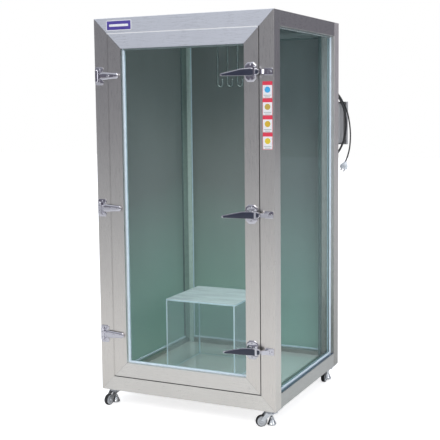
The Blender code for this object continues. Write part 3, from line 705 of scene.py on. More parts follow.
def screw_head(bm, place, radius, material=0):
    """A domed head with a cross recess, standing on local Z = 0."""
    rise, slot, deep, reach, lip = (radius * share for share in (0.55, 0.16, 0.30, 0.58, 0.12))
    dome = [(radius * cos(t), lip + (rise - lip) * sin(t)) for t in [pi / 2 * i / 6 for i in range(5)]]
    lathe(bm, [(0.0, 0.0), (radius, 0.0), *dome], 24, place, material)
    # the recess: a cross of four arms let into the top of the dome
    rim = [(reach, -slot), (reach, slot), (slot, slot), (slot, reach), (-slot, reach), (-slot, slot)]
    rim += [(-reach, slot), (-reach, -slot), (-slot, -slot), (-slot, -reach), (slot, -reach), (slot, -slot)]
    top = dome[-1][1]
    outer = [bm.verts.new(place @ Vector((x, y, top))) for x, y in disc(0.0, 0.0, dome[-1][0], 12)]
    edge = [bm.verts.new(place @ Vector((x * 0.86, y * 0.86, top))) for x, y in rim]
    floor = [bm.verts.new(place @ Vector((x * 0.70, y * 0.70, top - deep))) for x, y in rim]
    band(bm, outer, edge, material)
    band(bm, edge, floor, material)
    bm.faces.new(floor).material_index = material


def hexagon(radius):
    return arc(0.0, 0.0, radius, 0, 300, 6)


def smooth_route(points, spacing):
    """Even points on a smooth curve through the given ones."""
    stops = [Vector(p) for p in points]
    ends = [2 * stops[0] - stops[1], *stops, 2 * stops[-1] - stops[-2]]
    fine = []
    for a, b, c, d in zip(ends, ends[1:], ends[2:], ends[3:]):
        for i in range(24):
            t = i / 24
            bend = 2 * a - 5 * b + 4 * c - d
            twist = 3 * b - a - 3 * c + d
            fine.append(0.5 * (2 * b + (c - a) * t + bend * t * t + twist * t**3))
    fine.append(stops[-1])
    length = route_length(fine)
    count = max(2, round(length / spacing))
    kept, walked, wanted = [fine[0]], 0.0, length / count
    for p, q in zip(fine, fine[1:]):
        step = (q - p).length
        while walked + step >= wanted - 1e-9 and len(kept) < count:
            kept.append(p.lerp(q, (wanted - walked) / step))
            wanted += length / count
        walked += step
    kept.append(fine[-1])
    return kept


def route_length(points):
    return sum((q - p).length for p, q in zip(points, points[1:]))


# ---- cord, gland and plug ----
COIL_LOW, COIL_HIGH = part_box("cord_coil")
COIL_MIDDLE = (COIL_LOW + COIL_HIGH) / 2
COIL_A = (COIL_HIGH.x - COIL_LOW.x) / 2 - CORD / 2 - SKIN
COIL_C = (COIL_HIGH.z - COIL_LOW.z) / 2 - CORD / 2 - SKIN
LEAD_Y = COIL_LOW.y - SKIN - CORD / 2
TAIL_Y = COIL_HIGH.y + SKIN + CORD / 2
GLAND_LOW, GLAND_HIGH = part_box("cable_gland")
WIND_START, WIND_END = 228.0, 84.0 - 2 * 360.0
PLUG_END = Vector((0.4590, TAIL_Y + 0.025, BASE + 1.0770))
PLUG_BACK = Vector((0.34, 0.0, 0.94)).normalized()


def on_coil(angle, y):
    """A point on the winding's centreline, by its angle in degrees from the right-hand side."""
    turn = radians(angle)
    return Vector((COIL_MIDDLE.x + COIL_A * cos(turn), y, COIL_MIDDLE.z + COIL_C * sin(turn)))


def cord_route():
    """From the gland, round the control box in a loose winding, and down to the plug."""
    x, exit_z = COIL_MIDDLE.x, GLAND_LOW.z - 2 * SKIN
    lead = [
        (x, LEAD_Y, exit_z),
        (x, LEAD_Y, exit_z - 0.014),
        (x - 0.0080, LEAD_Y, exit_z - 0.034),
        (x - 0.0250, LEAD_Y, exit_z - 0.050),
        (x - 0.0500, LEAD_Y, exit_z - 0.0530),
        on_coil(238, LEAD_Y),
        on_coil(WIND_START, LEAD_Y),
    ]
    turns = []
    count = 72
    for i in range(1, count):
        share = i / count
        angle = WIND_START + (WIND_END - WIND_START) * share
        turns.append(on_coil(angle, LEAD_Y + (TAIL_Y - LEAD_Y) * share))
    tail = [
        on_coil(84, TAIL_Y),
        on_coil(70, TAIL_Y + 0.001),
        on_coil(55, TAIL_Y + 0.004),
        on_coil(42, TAIL_Y + 0.008),
        (0.4660, TAIL_Y + 0.014, BASE + 1.3550),
        (0.4800, TAIL_Y + 0.019, BASE + 1.2950),
        (0.4860, TAIL_Y + 0.022, BASE + 1.2250),
        (0.4820, TAIL_Y + 0.024, BASE + 1.1550),
        (0.4700, TAIL_Y + 0.025, BASE + 1.1050),
        PLUG_END + 0.012 * PLUG_BACK,
        PLUG_END,
    ]
    return smooth_route([*lead, *turns, *tail], 0.009)


def cord_piece():
    points = cord_route()
    curve = bpy.data.curves.new("mains_lead", "CURVE")
    curve.dimensions = "3D"
    curve.bevel_depth = sizes().cord / 2
    curve.bevel_resolution = 4
    curve.use_fill_caps = True
    curve.resolution_u = 4
    spline = curve.splines.new("POLY")
    spline.points.add(len(points) - 1)
    for point, place in zip(spline.points, points):
        point.co = (*place, 1.0)
    spline.use_smooth = True
    curve.materials.append(look("sheath"))
    thing = add_object("mains_lead", curve)
    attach(thing, "cabinet")
    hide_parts("cord_lead", "cord_coil", "cord_tail")
    return thing, points[0]


def gland_piece():
    """A hexagonal gland nut on a collar, and a tapering ribbed sleeve round the lead."""
    bm = bmesh.new()
    x, y, z = COIL_MIDDLE.x, (GLAND_LOW.y + GLAND_HIGH.y) / 2, GLAND_HIGH.z
    place = at(x, y, z) @ OVER
    crown(bm, prism(bm, hexagon(0.0113), 0.0, 0.0080, place), 0.0008, 0.0008, 3)
    lathe(bm, [(0.0, 0.0085), (0.0095, 0.0085), (0.0098, 0.0100), (0.0092, 0.0150), (0.0, 0.0160)], 32, place)
    ribs = [(0.0, 0.0150)]
    for i in range(9):
        low = 0.0155 + 0.0028 * i
        wide = 0.0078 - 0.00029 * i
        groove = wide - 0.0014
        ribs += [(wide, low), (wide, low + 0.0016), (groove, low + 0.0020), (groove, low + 0.0026)]
    ribs += [(0.0050, 0.0412), (0.0042, 0.0420), (0.0, 0.0420)]
    lathe(bm, ribs, 32, place)
    piece("gland_and_sleeve", bm, ["rubber"], "cabinet", ["cable_gland"])


def plug_piece():
    """A moulded plug with a waisted grip, ribs across both faces, and two flat pins."""
    side = Vector((0.0, 1.0, 0.0)).cross(PLUG_BACK).normalized()
    across = side.cross(PLUG_BACK).normalized()
    turn = Matrix((side, PLUG_BACK, across)).transposed().to_4x4()
    place = Matrix.Translation(PLUG_END - 2 * SKIN * PLUG_BACK) @ turn
    bm = bmesh.new()
    # cross-sections down the plug: distance along, half width, half thickness
    sections = [
        (0.0000, 0.0056, 0.0056),
        (-0.0020, 0.0068, 0.0066),
        (-0.0080, 0.0080, 0.0076),
        (-0.0120, 0.0110, 0.0092),
        (-0.0180, 0.0170, 0.0112),
        (-0.0240, 0.0198, 0.0119),
        (-0.0300, 0.0202, 0.0119),
        (-0.0360, 0.0204, 0.0119),
        (-0.0390, 0.0196, 0.0112),
        (-0.0400, 0.0180, 0.0098),
    ]
    power = 3.2      # 2 would make each section an oval, and more makes it squarer
    rings = []
    for along, wide, thick in sections:
        ring = []
        for u, v in disc(0.0, 0.0, 1.0, 28):
            square = 1.0 / (abs(u) ** power + abs(v) ** power) ** (1 / power)
            ring.append(bm.verts.new(place @ Vector((wide * u * square, along, thick * v * square))))
        rings.append(ring)
    for one, two in zip(rings, rings[1:]):
        band(bm, one, two)
    bm.faces.new(rings[0])
    bm.faces.new(list(reversed(rings[-1])))
    for way in (-1, 1):
        under, over = sorted((way * 0.0112, way * 0.0119))
        for i in range(4):
            along = -0.0215 - 0.0042 * i
            slab(bm, (-0.0130, along - 0.0011, under), (0.0130, along + 0.0011, over), 0, place)
    for x in (-0.0085, 0.0085):
        blade = rounded(x - 0.0030, -0.055, x + 0.0030, -0.036, 0.0008, 3)
        face = prism(bm, blade, -0.0009, 0.0006, place, 1)
        crown(bm, face, 0.0004, 0.0003, 2)
    return piece("mains_plug", bm, ["plug_plastic", "chrome"], "cabinet", ["plug"], sharp=38)


# ---- frame and sheet parts ----
def frame_finishes():
    for node in ("front_frame", "rear_frame", "door_frame"):
        low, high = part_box(node)
        made = Finish("brushed_" + node)
        # the rear frame is darker near the floor and brighter near the roof: painted shade and painted light
        if node == "rear_frame":
            shades = (("rear_low", "roof"), ("rear_low", "rear_high"), 0.7)
        else:
            shades = (("rail_low", "rail_high"), ("stile_low", "stile_high"))
        dress(node, ring_steel(made, low, high, *shades))
    for side in ("left", "right"):
        for level in ("bottom", "top"):
            dress(f"side_rail_{side}_{level}", "rail_steel")
    dress("roof_panel", "roof_steel")
    dress("floor_pan", "pan_steel")
    dress("door_seal", "rubber")


def gap_trim():
    """A steel strip down the hinge side of the door's gap, and a white strip of painted highlight along its
    top.
    """
    low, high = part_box("door_frame")
    gap = low.x - (LEFT + MEMBER)
    near, far, shallow = FRONT + 0.0006, FRONT + 0.0100, FRONT + 0.0026
    looks = [NODES["front_frame"].material_slots[0].material, "bright_strip"]
    bm = bmesh.new()
    slab(bm, (low.x - gap + SKIN, near, low.z), (low.x - SKIN, far, high.z), 0)
    # a painted highlight along the top of the gap
    slab(bm, (low.x - gap + SKIN, near, high.z + SKIN), (high.x, far, high.z + gap - SKIN), 1)
    piece("gap_trim", bm, looks, "cabinet")
    # a thin black lip down the latch side and along the bottom, clear of the door's rear corner as it swings
    bm = bmesh.new()
    slab(bm, (high.x + 0.0017, near, low.z - gap + SKIN), (high.x + gap - SKIN, shallow, high.z))
    slab(bm, (low.x, near, low.z - gap + SKIN), (high.x + 0.0014, shallow, low.z - 0.0008))
    piece("gap_lip", bm, ["rubber"], "cabinet")


# ---- glass ----
def bead(name, node, body, axis, out, width, sides):
    """A clear bead round a pane, on the side that its out direction points to."""
    low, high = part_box(node)
    thick = 0.0005
    if axis == "y":
        surface = high.y if out > 0 else low.y
        place = Matrix(((1, 0, 0, 0), (0, 0, out, surface + out * thick), (0, 1, 0, 0), (0, 0, 0, 1)))
        flat_low, flat_high = (low.x, low.z), (high.x, high.z)
    else:
        surface = high.x if out > 0 else low.x
        place = Matrix(((0, 0, out, surface + out * thick), (1, 0, 0, 0), (0, 1, 0, 0), (0, 0, 0, 1)))
        flat_low, flat_high = (low.y, low.z), (high.y, high.z)
    profile = [(0.0, 0.0), *arc(0.0, 0.0, width, 0, 90, 6)]
    bm = bmesh.new()
    moulding(bm, flat_low, flat_high, profile, place, sides)
    piece(name, bm, ["glass_edge", "shaded_edge"], body, sharp=50)


def glazing():
    wide = sizes().bead
    panes = {"door": "clear_pane", "right": "side_pane", "left": "tinted_pane", "rear": "tinted_pane"}
    for side, finish in panes.items():
        dress(side + "_pane", finish)
    # which sides of each bead carry painted shade instead of a painted highlight
    shaded_top, shaded_ends = (0, 0, 1, 0), (0, 1, 1, 1)
    for way, label in ((-1, "front"), (1, "back")):
        bead(f"door_bead_{label}", "door_pane", "door", "y", way, wide, shaded_top)
        bead(f"rear_bead_{label}", "rear_pane", "cabinet", "y", way, wide, shaded_top)
        bead(f"left_bead_{label}", "left_pane", "cabinet", "x", way, wide, shaded_ends)
        bead(f"right_bead_{label}", "right_pane", "cabinet", "x", way, wide, shaded_top)
    corner_strips()
    sill_strips()


def sill_strips():
    """Dark polished strips of painted shade on the ledges below the side panes."""
    bm = bmesh.new()
    for way, side in ((-1, "left"), (1, "right")):
        low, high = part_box(side + "_pane")
        outer = high.x if way > 0 else low.x
        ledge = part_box(f"side_rail_{side}_bottom")[1].z
        x0, x1 = sorted((outer + way * 0.0085, way * (RIGHT - 0.0025)))
        slab(bm, (x0, low.y + 0.001, ledge + SKIN), (x1, high.y - 0.001, ledge + 0.0012))
    piece("sill_strips", bm, ["sill"], "cabinet", bevel=0.0003, segments=1)


def corner_strips():
    """Strips down the chamber's rear corners that paint light and shade: a pale painted highlight on the left
    with a facing of painted shade beside it, and a strip of painted shade on the right.
    """
    rear_low, rear_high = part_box("rear_frame")
    floor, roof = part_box("floor_pan")[1].z + 0.002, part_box("lamp_fixture")[0].z
    face, inner = rear_low.y - SKIN, rear_high.x - MEMBER
    bm = bmesh.new()
    slab(bm, (0.0005 - inner, face - 0.0130, floor), (0.0205 - inner, face, roof))
    slab(bm, (-inner - 0.0370, face - 0.0030, floor), (-inner - 0.0005, face, roof), 1)
    slab(bm, (inner - 0.0145, face - 0.0100, floor), (inner - 0.0005, face, roof), 2)
    looks = ["corner_strip", "corner_face", "shaded_edge"]
    piece("corner_strips", bm, looks, "cabinet", bevel=0.0014, segments=2)


# ---- hinges ----
KNUCKLE, KNUCKLE_HALF = 0.0085, 0.013    # radius, and half the length that turns with the door
PAD = 0.0425                             # half the height of the plate on the frame


def hinge(level):
    low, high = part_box("hinge_leaf_" + level)
    pin_x, pin_y, _ = JOINTS["door_swing"]["pos_m"]
    z = (low.z + high.z) / 2
    hinge_plate(level, pin_x, pin_y, z)
    hinge_arm(level, pin_x, pin_y, z)


def hinge_plate(level, pin_x, pin_y, z):
    """A waisted plate with two screws, and a capped knuckle above and below the door's own."""
    turn = 0.010
    outline = (
        arc(0.020, -PAD + turn, turn, -90, 0, 6)
        + [(0.030, -0.0240), (0.022, -0.0205), (0.022, 0.0205), (0.030, 0.0240)]
        + arc(0.020, PAD - turn, turn, 0, 90, 6)
        + arc(-0.006, PAD - turn, turn, 90, 180, 6)
        + arc(-0.006, -PAD + turn, turn, 180, 270, 6)
    )
    near, far = KNUCKLE_HALF + 0.0006, KNUCKLE_HALF + 0.0135
    barrel = [(0.0, near), (KNUCKLE - 0.0008, near), (KNUCKLE, near + 0.0008), (KNUCKLE, far - 0.0010)]
    barrel += [(KNUCKLE - 0.0010, far), (0.0052, far + 0.0002), (0.0050, far + 0.0016)]
    barrel += [(0.0038, far + 0.0038), (0.0020, far + 0.0047), (0.0, far + 0.0049)]
    bm = bmesh.new()
    crown(bm, prism(bm, outline, 0.0, 0.0020, facing(pin_x, FRONT - SKIN, z)), 0.0012, 0.0011, 3)
    for way in (-1, 1):
        screw_head(bm, facing(pin_x + 0.008, FRONT - 0.0031, z + way * (PAD - 0.0105)), sizes().screw)
        lathe(bm, barrel, 32, at(pin_x, pin_y, z) @ end(way))
        ends = sorted((z + way * near, z + way * far))
        slab(bm, (pin_x - 0.0075, pin_y, ends[0]), (pin_x + 0.0075, FRONT - 0.0015, ends[1]))
    foot_z, head_z = z - KNUCKLE_HALF - 0.002, z + KNUCKLE_HALF + 0.002
    pin = [(0.0, foot_z), (0.004, foot_z), (0.004, head_z), (0.0, head_z)]
    lathe(bm, pin, 20, at(pin_x, pin_y, 0.0))
    piece("hinge_plate_" + level, bm, ["chrome"], "cabinet", ["hinge_leaf_" + level])


def hinge_arm(level, pin_x, pin_y, z):
    """A domed strap with a round end and two oval screw covers, and the knuckle between the plate's two."""
    half = KNUCKLE_HALF
    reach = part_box("hinge_strap_" + level)[1].x - pin_x
    root, tip = 0.0180, 0.0135
    lower = [(0.0065, -half), (0.012, -half), (0.020, -0.0155), (0.030, -root), (0.045, -0.0170)]
    lower += [(reach - 0.024, -tip)]
    upper = [(x, -y) for x, y in reversed(lower)]
    place = facing(pin_x, FRONT, z)
    bm = bmesh.new()
    outline = [*lower, *arc(reach - tip, 0.0, tip, -90, 90, 15), *upper]
    crown(bm, prism(bm, outline, 0.0052, 0.0085, place), 0.0095, 0.0045, 6)
    side = tip - 0.002
    under = [(0.062, -side), (reach - 0.012, -side), *arc(reach - tip, 0.0, side, -80, 80, 9)]
    under += [(reach - 0.012, side), (0.062, side)]
    prism(bm, under, SKIN, 0.0060, place)
    barrel = [(0.0045, -half), (KNUCKLE - 0.0008, -half), (KNUCKLE, -half + 0.0008)]
    barrel += [(r, -h) for r, h in reversed(barrel)]
    lathe(bm, barrel, 32, at(pin_x, pin_y, z), closed=True)
    slab(bm, (pin_x + 0.0045, pin_y, z - half + 0.0004), (pin_x + 0.016, FRONT - 0.0054, z + half - 0.0004))
    for spot_x, wide in ((reach - 0.0150, 0.0075), (0.060, 0.0060)):
        oval = [(x * 1.25, y) for x, y in disc(0.0, 0.0, wide, 28)]
        top = prism(bm, oval, 0.0100, 0.0125, facing(pin_x + spot_x, FRONT, z))
        crown(bm, top, wide * 0.55, 0.0012, 4)
    piece("hinge_arm_" + level, bm, ["chrome"], "door", ["hinge_strap_" + level])


# ---- latches ----
def latch(level):
    pivot_x, pivot_y, z = JOINTS[f"lever_{level}_turn"]["pos_m"]
    latch_base(level, pivot_x, pivot_y, z)
    lever(level, pivot_x, pivot_y, z)
    keeper(level, z)


def latch_base(level, pivot_x, pivot_y, z):
    """An eight-sided domed plate, and a cheek with a capped pin on each side of the lever."""
    out = FRONT - pivot_y
    base_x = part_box("latch_body_" + level)[0].x + 0.028
    wide, tall, corner, ear = 0.028, 0.043, 0.014, 0.0175
    right = [(wide - corner, -tall), (wide, -tall + corner), (wide, tall - corner), (wide - corner, tall)]
    left = [(-x, y) for x, y in reversed(right)]
    cheek = [(-0.040, 0.001), (-0.001, 0.001), (-0.001, 0.004), *arc(0.0, out - 0.0055, 0.009, 0, 110, 10)]
    cheek += [(-0.008, 0.031), (-0.022, 0.0215), (-0.040, 0.010)]
    cap = [(0.0, 0.0), (0.0060, 0.0), (0.0060, 0.0012), (0.0050, 0.0026), (0.0028, 0.0036), (0.0, 0.0040)]
    outward = at(pivot_x, FRONT - 0.0055, z) @ Matrix.Diagonal((1.0, -1.0, 1.0, 1.0))
    bm = bmesh.new()
    plate = prism(bm, [*right[1:], *left, right[0]], SKIN, 0.0035, facing(base_x, FRONT, z))
    crown(bm, plate, 0.0100, 0.0032, 6)
    for way in (-1, 1):
        screw_head(bm, facing(base_x, FRONT - 0.0062, z + way * 0.0315), sizes().screw)
    for way in (-1, 1):
        ends = sorted((way * ear, way * (ear + 0.004)))
        outer = prism(bm, cheek, ends[0] + 0.0004, ends[1] - 0.0004, outward)
        crown(bm, outer, 0.0005, 0.0004, 2)
        lathe(bm, cap, 24, at(pivot_x, pivot_y, z + way * (ear + 0.0040)) @ end(way))
    piece("latch_base_" + level, bm, ["chrome"], "door", ["latch_body_" + level])


def lever(level, pivot_x, pivot_y, z):
    """A plated lever that narrows to its tip, with a dark grip let into its front."""
    reach = pivot_x - 0.222
    drop, nose = 0.007, 0.022
    lean = Matrix.Rotation(radians(7.5), 4, "Z") @ Matrix.Rotation(pi / 2, 4, "X")
    place = at(pivot_x, pivot_y, z) @ lean
    blade = [(nose - 0.006, 0.012), (-0.016, 0.0165), (-0.060, 0.0145), (-reach + 0.006, -drop + 0.003)]
    blade += [(-reach, -drop - 0.001), (-reach, -drop - 0.005), (-reach + 0.006, -drop - 0.009)]
    blade += [(-0.060, -0.0165), (-0.016, -0.0165), (nose - 0.006, -0.012), (nose, -0.006), (nose, 0.006)]
    bm = bmesh.new()
    crown(bm, prism(bm, blade, -0.0058, 0.0030, place), 0.0012, 0.0012, 3)
    grip = [(0.0150, 0.0080), (-0.016, 0.0135), (-0.060, 0.0112), (-reach + 0.012, -drop)]
    grip += [(-reach + 0.005, -drop - 0.0035), (-reach + 0.009, -drop - 0.0078), (-0.060, -0.0158)]
    grip += [(-0.016, -0.0158), (0.0150, -0.0095), (0.0180, -0.0045), (0.0180, 0.0035)]
    top = prism(bm, grip, 0.0020, 0.0044, place, 1)
    crown(bm, top, 0.0030, 0.0016, 4)
    boss = [(0.0, 0.0), (0.0066, 0.0), (0.0072, 0.0008), (0.0072, 0.0330), (0.0066, 0.0338), (0.0, 0.0338)]
    lathe(bm, boss, 28, at(pivot_x, pivot_y, z - 0.0169))
    piece("lever_" + level, bm, ["chrome", "grip"], f"lever_{level}", ["latch_lever_" + level])


def keeper(level, z):
    """A plate on the frame's stile with a raised wedge between two ribs, held by a screw."""
    low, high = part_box("latch_keeper_" + level)
    start, half = low.x, 0.0094
    plate = rounded(0.007, -0.0158, high.x - start, 0.0158, 0.004)
    wedge = [(0.006, 0.002), (0.030, 0.002), (0.026, 0.0085), (0.018, 0.0215), (0.010, 0.0335)]
    wedge += [(0.0070, 0.0352), (0.004, 0.0358), (0.0010, 0.0352), (0.0002, 0.0330), (0.0002, 0.014)]
    wedge += [(0.0030, 0.010)]
    rib = [(0.010, 0.002), (0.036, 0.002), (0.034, 0.0052), (0.012, 0.0085), (0.010, 0.0075)]
    outward = at(start, FRONT, z) @ Matrix.Diagonal((1.0, -1.0, 1.0, 1.0))
    bm = bmesh.new()
    crown(bm, prism(bm, plate, SKIN, 0.0030, facing(start, FRONT, z)), 0.0012, 0.0009, 3)
    crown(bm, prism(bm, wedge, -half, half, outward), 0.0006, 0.0006, 3)
    for way in (-1, 1):
        prism(bm, rib, *sorted((way * half, way * 0.0125)), outward)
    screw_head(bm, facing(start + 0.0410, FRONT - 0.0038, z), sizes().screw * 0.9)
    piece(
        "keeper_" + level, bm, ["chrome"], "cabinet", ["latch_keeper_" + level],
        bevel=0.0004, segments=1,
    )


# ---- casters and feet ----
def caster(corner):
    x, y, _ = JOINTS["swivel_" + corner]["pos_m"]
    roll = JOINTS["roll_" + corner]
    turn = Vector(roll["axis"]).normalized().to_track_quat("Z", "Y").to_matrix().to_4x4()
    axle = Matrix.Translation(Vector(roll["pos_m"])) @ turn
    dress("caster_plate_" + corner, "zinc")
    dress("caster_fork_" + corner, "zinc")
    plate_bolts(corner, x, y)
    wheel(corner, axle)
    axle_bolt(corner, axle, x, y)
    foot(corner, x, y)


def plate_bolts(corner, x, y):
    """Four bolt heads under the plate."""
    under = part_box("caster_plate_" + corner)[1].z - 0.0040
    bm = bmesh.new()
    for way_x in (-1, 1):
        for way_y in (-1, 1):
            down = at(x + way_x * 0.031, y + way_y * 0.031, under) @ OVER
            crown(bm, prism(bm, hexagon(0.0052), 0.0, 0.0026, down), 0.0010, 0.0008, 3)
    piece("plate_bolts_" + corner, bm, ["zinc"], "cabinet")


def wheel(corner, axle):
    """A rubber tread with a groove round its middle, on a moulded centre with eight spokes."""
    radius, half = 0.027, 0.010
    tread = [(0.0223, -half + 0.0018), (0.0229, -half + 0.0008), (radius - 0.0034, -half)]
    tread += [(radius - 0.0016, -half + 0.0012), (radius - 0.0004, -half + 0.0034), (radius, -0.0044)]
    tread += [(radius, -0.0030), (radius - 0.0009, -0.0026), (radius - 0.0009, -0.0018), (radius, -0.0014)]
    tread += [(r, -h) for r, h in reversed(tread)]
    hub = [(0.0042, -0.0082), (0.0078, -0.0082), (0.0084, -0.0076), (0.0088, -0.0058), (0.0160, -0.0052)]
    hub += [(0.0190, -0.0060), (0.0200, -0.0080), (0.0222, -0.0084)]
    hub += [(r, -h) for r, h in reversed(hub)]
    bm = bmesh.new()
    lathe(bm, tread, 48, axle, 0, closed=True)
    lathe(bm, hub, 48, axle, 1, closed=True)
    for i in range(8):
        spoke = axle @ Matrix.Rotation(2 * pi * i / 8, 4, "Z")
        slab(bm, (0.0086, -0.0011, -0.0072), (0.0180, 0.0011, 0.0072), 1, spoke)
    looks = ["rubber", "wheel_centre"]
    piece("wheel_" + corner, bm, looks, "wheel_" + corner, ["caster_wheel_" + corner])


def axle_bolt(corner, axle, x, y):
    """The axle's bolt and nut on the fork, and the swivel's dust ring."""
    bolt = [(0.0, 0.0), (0.0058, 0.0), (0.0060, 0.0006), (0.0052, 0.0022), (0.0030, 0.0032), (0.0, 0.0034)]
    stub = [(0.0, 0.0165), (0.0028, 0.0165), (0.0028, 0.0190), (0.0020, 0.0196), (0.0, 0.0196)]
    ring = [(0.0272, 0.0), (0.0290, 0.0004), (0.0296, 0.0020), (0.0290, 0.0046), (0.0276, 0.0052)]
    ring += [(0.0272, 0.0052)]
    bm = bmesh.new()
    lathe(bm, bolt, 24, axle @ at(0, 0, 0.0140))
    crown(bm, prism(bm, hexagon(0.0060), 0.0140, 0.0168, axle @ OVER), 0.0010, 0.0008, 3)
    lathe(bm, stub, 18, axle @ OVER)
    lathe(bm, ring, 48, at(x, y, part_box("caster_fork_" + corner)[1].z - 0.0062), 0, closed=True)
    piece("axle_bolt_" + corner, bm, ["zinc"], "fork_" + corner)


def foot(corner, x, y):
    """A threaded stem with a hexagonal nut, a flared foot and its rubber pad."""
    low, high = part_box("levelling_foot_" + corner)
    place = at(x, y, low.z)
    stem, pitch = 0.0050, 0.0016
    bm = bmesh.new()
    profile = [(0.0, 0.0004), (0.0195, 0.0004), (0.0206, 0.0014), (0.0212, 0.0036), (0.0210, 0.0052)]
    profile += [(0.0196, 0.0066), (0.0168, 0.0130), (0.0146, 0.0186), (0.0122, 0.0246), (0.0112, 0.0284)]
    profile += [(0.0092, 0.0300), (0.0090, 0.0352), (0.0070, 0.0362)]
    height, top = 0.0366, high.z - low.z
    while height < top - 0.003:
        profile += [(stem, height), (stem - 0.0006, height + pitch / 2)]
        height += pitch
    profile += [(stem, height), (stem - 0.0012, top), (0.0, top)]
    lathe(bm, profile, 36, place)
    crown(bm, prism(bm, hexagon(0.0098), 0.0300, 0.0352, place), 0.0010, 0.0009, 3)
    pad = [(0.0, 0.0), (0.0188, 0.0), (0.0196, 0.0006), (0.0194, 0.0012), (0.0, 0.0012)]
    lathe(bm, pad, 36, place, 1)
    name = "foot_" + corner
    piece(name, bm, ["zinc", "rubber"], name, ["levelling_foot_" + corner])


# ---- inside ----
def bench():
    """A clear bench of bonded plates, with painted highlights on its cut edges and a pale painted reflection
    on its seat.
    """
    top_low, top_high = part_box("bench_top")
    low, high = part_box("bench_stand")
    plate = top_high.z - top_low.z
    bm = bmesh.new()
    slab(bm, top_low, top_high, 2)
    slab(bm, low, (low.x + plate, high.y, high.z))
    slab(bm, (high.x - plate, low.y, low.z), high)
    slab(bm, (low.x + plate + SKIN, high.y - plate, low.z), (high.x - plate - SKIN, high.y, high.z))
    for face in bm.faces:
        if min(edge.calc_length() for edge in face.edges) < plate * 1.5:
            face.material_index = 1
    piece(
        "bench_plates", bm, ["bench_wall", "glass_edge", "bench_seat"], "cabinet",
        ["bench_top", "bench_stand"], bevel=0.0006, segments=2,
    )


def hooks():
    """A flat bar held by two screws, with three wire hooks that each hang from a collar."""
    low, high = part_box("hook_bar")
    middle_y, under = (low.y + high.y) / 2, high.z - 0.006
    wire, bend = sizes().wire / 2, 0.013
    z = low.z + wire + bend
    flat = rounded(low.x + 0.001, low.y + 0.001, high.x - 0.001, high.y - 0.001, 0.006)
    down = Matrix.Diagonal((1.0, 1.0, -1.0, 1.0))
    collar = [(0.0, 0.0), (0.0066, 0.0), (0.0066, 0.0030), (0.0050, 0.0045), (wire, 0.0050), (0.0, 0.0050)]
    bm = bmesh.new()
    crown(bm, prism(bm, flat, -high.z + 0.0005, -under - 0.0012, down), 0.0012, 0.0012, 3)
    for i in range(3):
        x = low.x + 0.030 + 0.054 * i
        straight = [(x, middle_y, under + (z - under) * k / 8) for k in range(8)]
        curl = [(cx, middle_y, cz) for cx, cz in arc(x + bend, z, bend, 180, 360, 15)]
        rise = [(x + 2 * bend + 0.0002 * k, middle_y, z + 0.0055 * k) for k in range(1, 5)]
        sweep(bm, [*straight, *curl, *rise], wire, 14)
        lathe(bm, collar, 28, at(x, middle_y, under) @ OVER)
    for x in (low.x + 0.012, high.x - 0.012):
        screw_head(bm, at(x, middle_y, under) @ OVER, 0.0038)
    piece("hook_rail", bm, ["hook_steel"], "cabinet", ["hook_bar"])


def lamp():
    lamp_channel()
    lamp_bulb()


def lamp_channel():
    """A folded channel with two moulded holders."""
    low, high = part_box("lamp_fixture")
    tray = high.z - 0.024
    swing = Matrix(((0, 0, 1, 0), (1, 0, 0, 0), (0, 1, 0, 0), (0, 0, 0, 1)))
    along = at(0.0, (low.y + high.y) / 2, tray) @ swing
    fold = [(0.0205, 0.0), (0.0218, 0.0016), (0.0160, 0.0225), (0.0140, 0.0238)]
    fold = [(-0.0205, 0.0), *fold, *((-y, z) for y, z in reversed(fold[1:]))]
    bm = bmesh.new()
    prism(bm, fold, low.x, high.x, along)
    looks = ["polished_steel"]
    piece("lamp_channel", bm, looks, "cabinet", ["lamp_fixture"], bevel=0.0008)
    holder = rounded(-0.0108, low.z - tray + 0.0002, 0.0108, 0.001, 0.005)
    bm = bmesh.new()
    for way in (-1, 1):
        prism(bm, holder, *sorted((way * (high.x - 0.0022), way * (high.x - 0.0158))), along)
    piece("lamp_holders", bm, ["plug_plastic"], "cabinet", bevel=0.0010)


def lamp_bulb():
    """A glass tube with plated ends, and a coiled filament on two wires inside each end."""
    low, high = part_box("lamp_tube")
    half, radius = (high.x - low.x) / 2, (high.z - low.z) / 2
    place = Matrix.Translation((low + high) / 2) @ Matrix.Rotation(pi / 2, 4, "Y")
    tube, inner = half - 0.012, radius - 0.0004
    cap = [(0.0, half - 0.0150), (radius - 0.0008, half - 0.0150), (radius, half - 0.0145)]
    cap += [(radius, half - 0.0012), (radius * 0.75, half), (0.0, half)]
    span, curl, winding = 0.003, 0.0006, 60.0    # half the filament's length, its coil's radius, and radians
    bm = bmesh.new()
    lathe(bm, [(0.0, -tube), (inner, -tube), (inner, tube), (0.0, tube)], 40, place, 0)
    for way in (-1, 1):
        flip = place @ end(way)
        lathe(bm, cap, 40, flip, 1)
        coil = []
        for i in range(60):
            t = i / 59
            spot = (-span + 2 * span * t, curl * cos(t * winding), half - 0.030 + curl * sin(t * winding))
            coil.append(flip @ Vector(spot))
        sweep(bm, coil, 0.00018, 6, 1)
        for side in (-span, span):
            sweep(bm, [flip @ Vector((side, 0.0, half - 0.014 - 0.004 * k)) for k in range(5)], 0.00035, 6, 1)
    piece("lamp_bulb", bm, ["lamp_glass", "zinc"], "cabinet", ["lamp_tube"])


# ---- control box ----
COVER_RECESS = 0.0026    # what stands on the cover's face stays within the cabinet's depth
CASE_HALF_WIDTH, CASE_HALF_HEIGHT = 0.115, 0.105


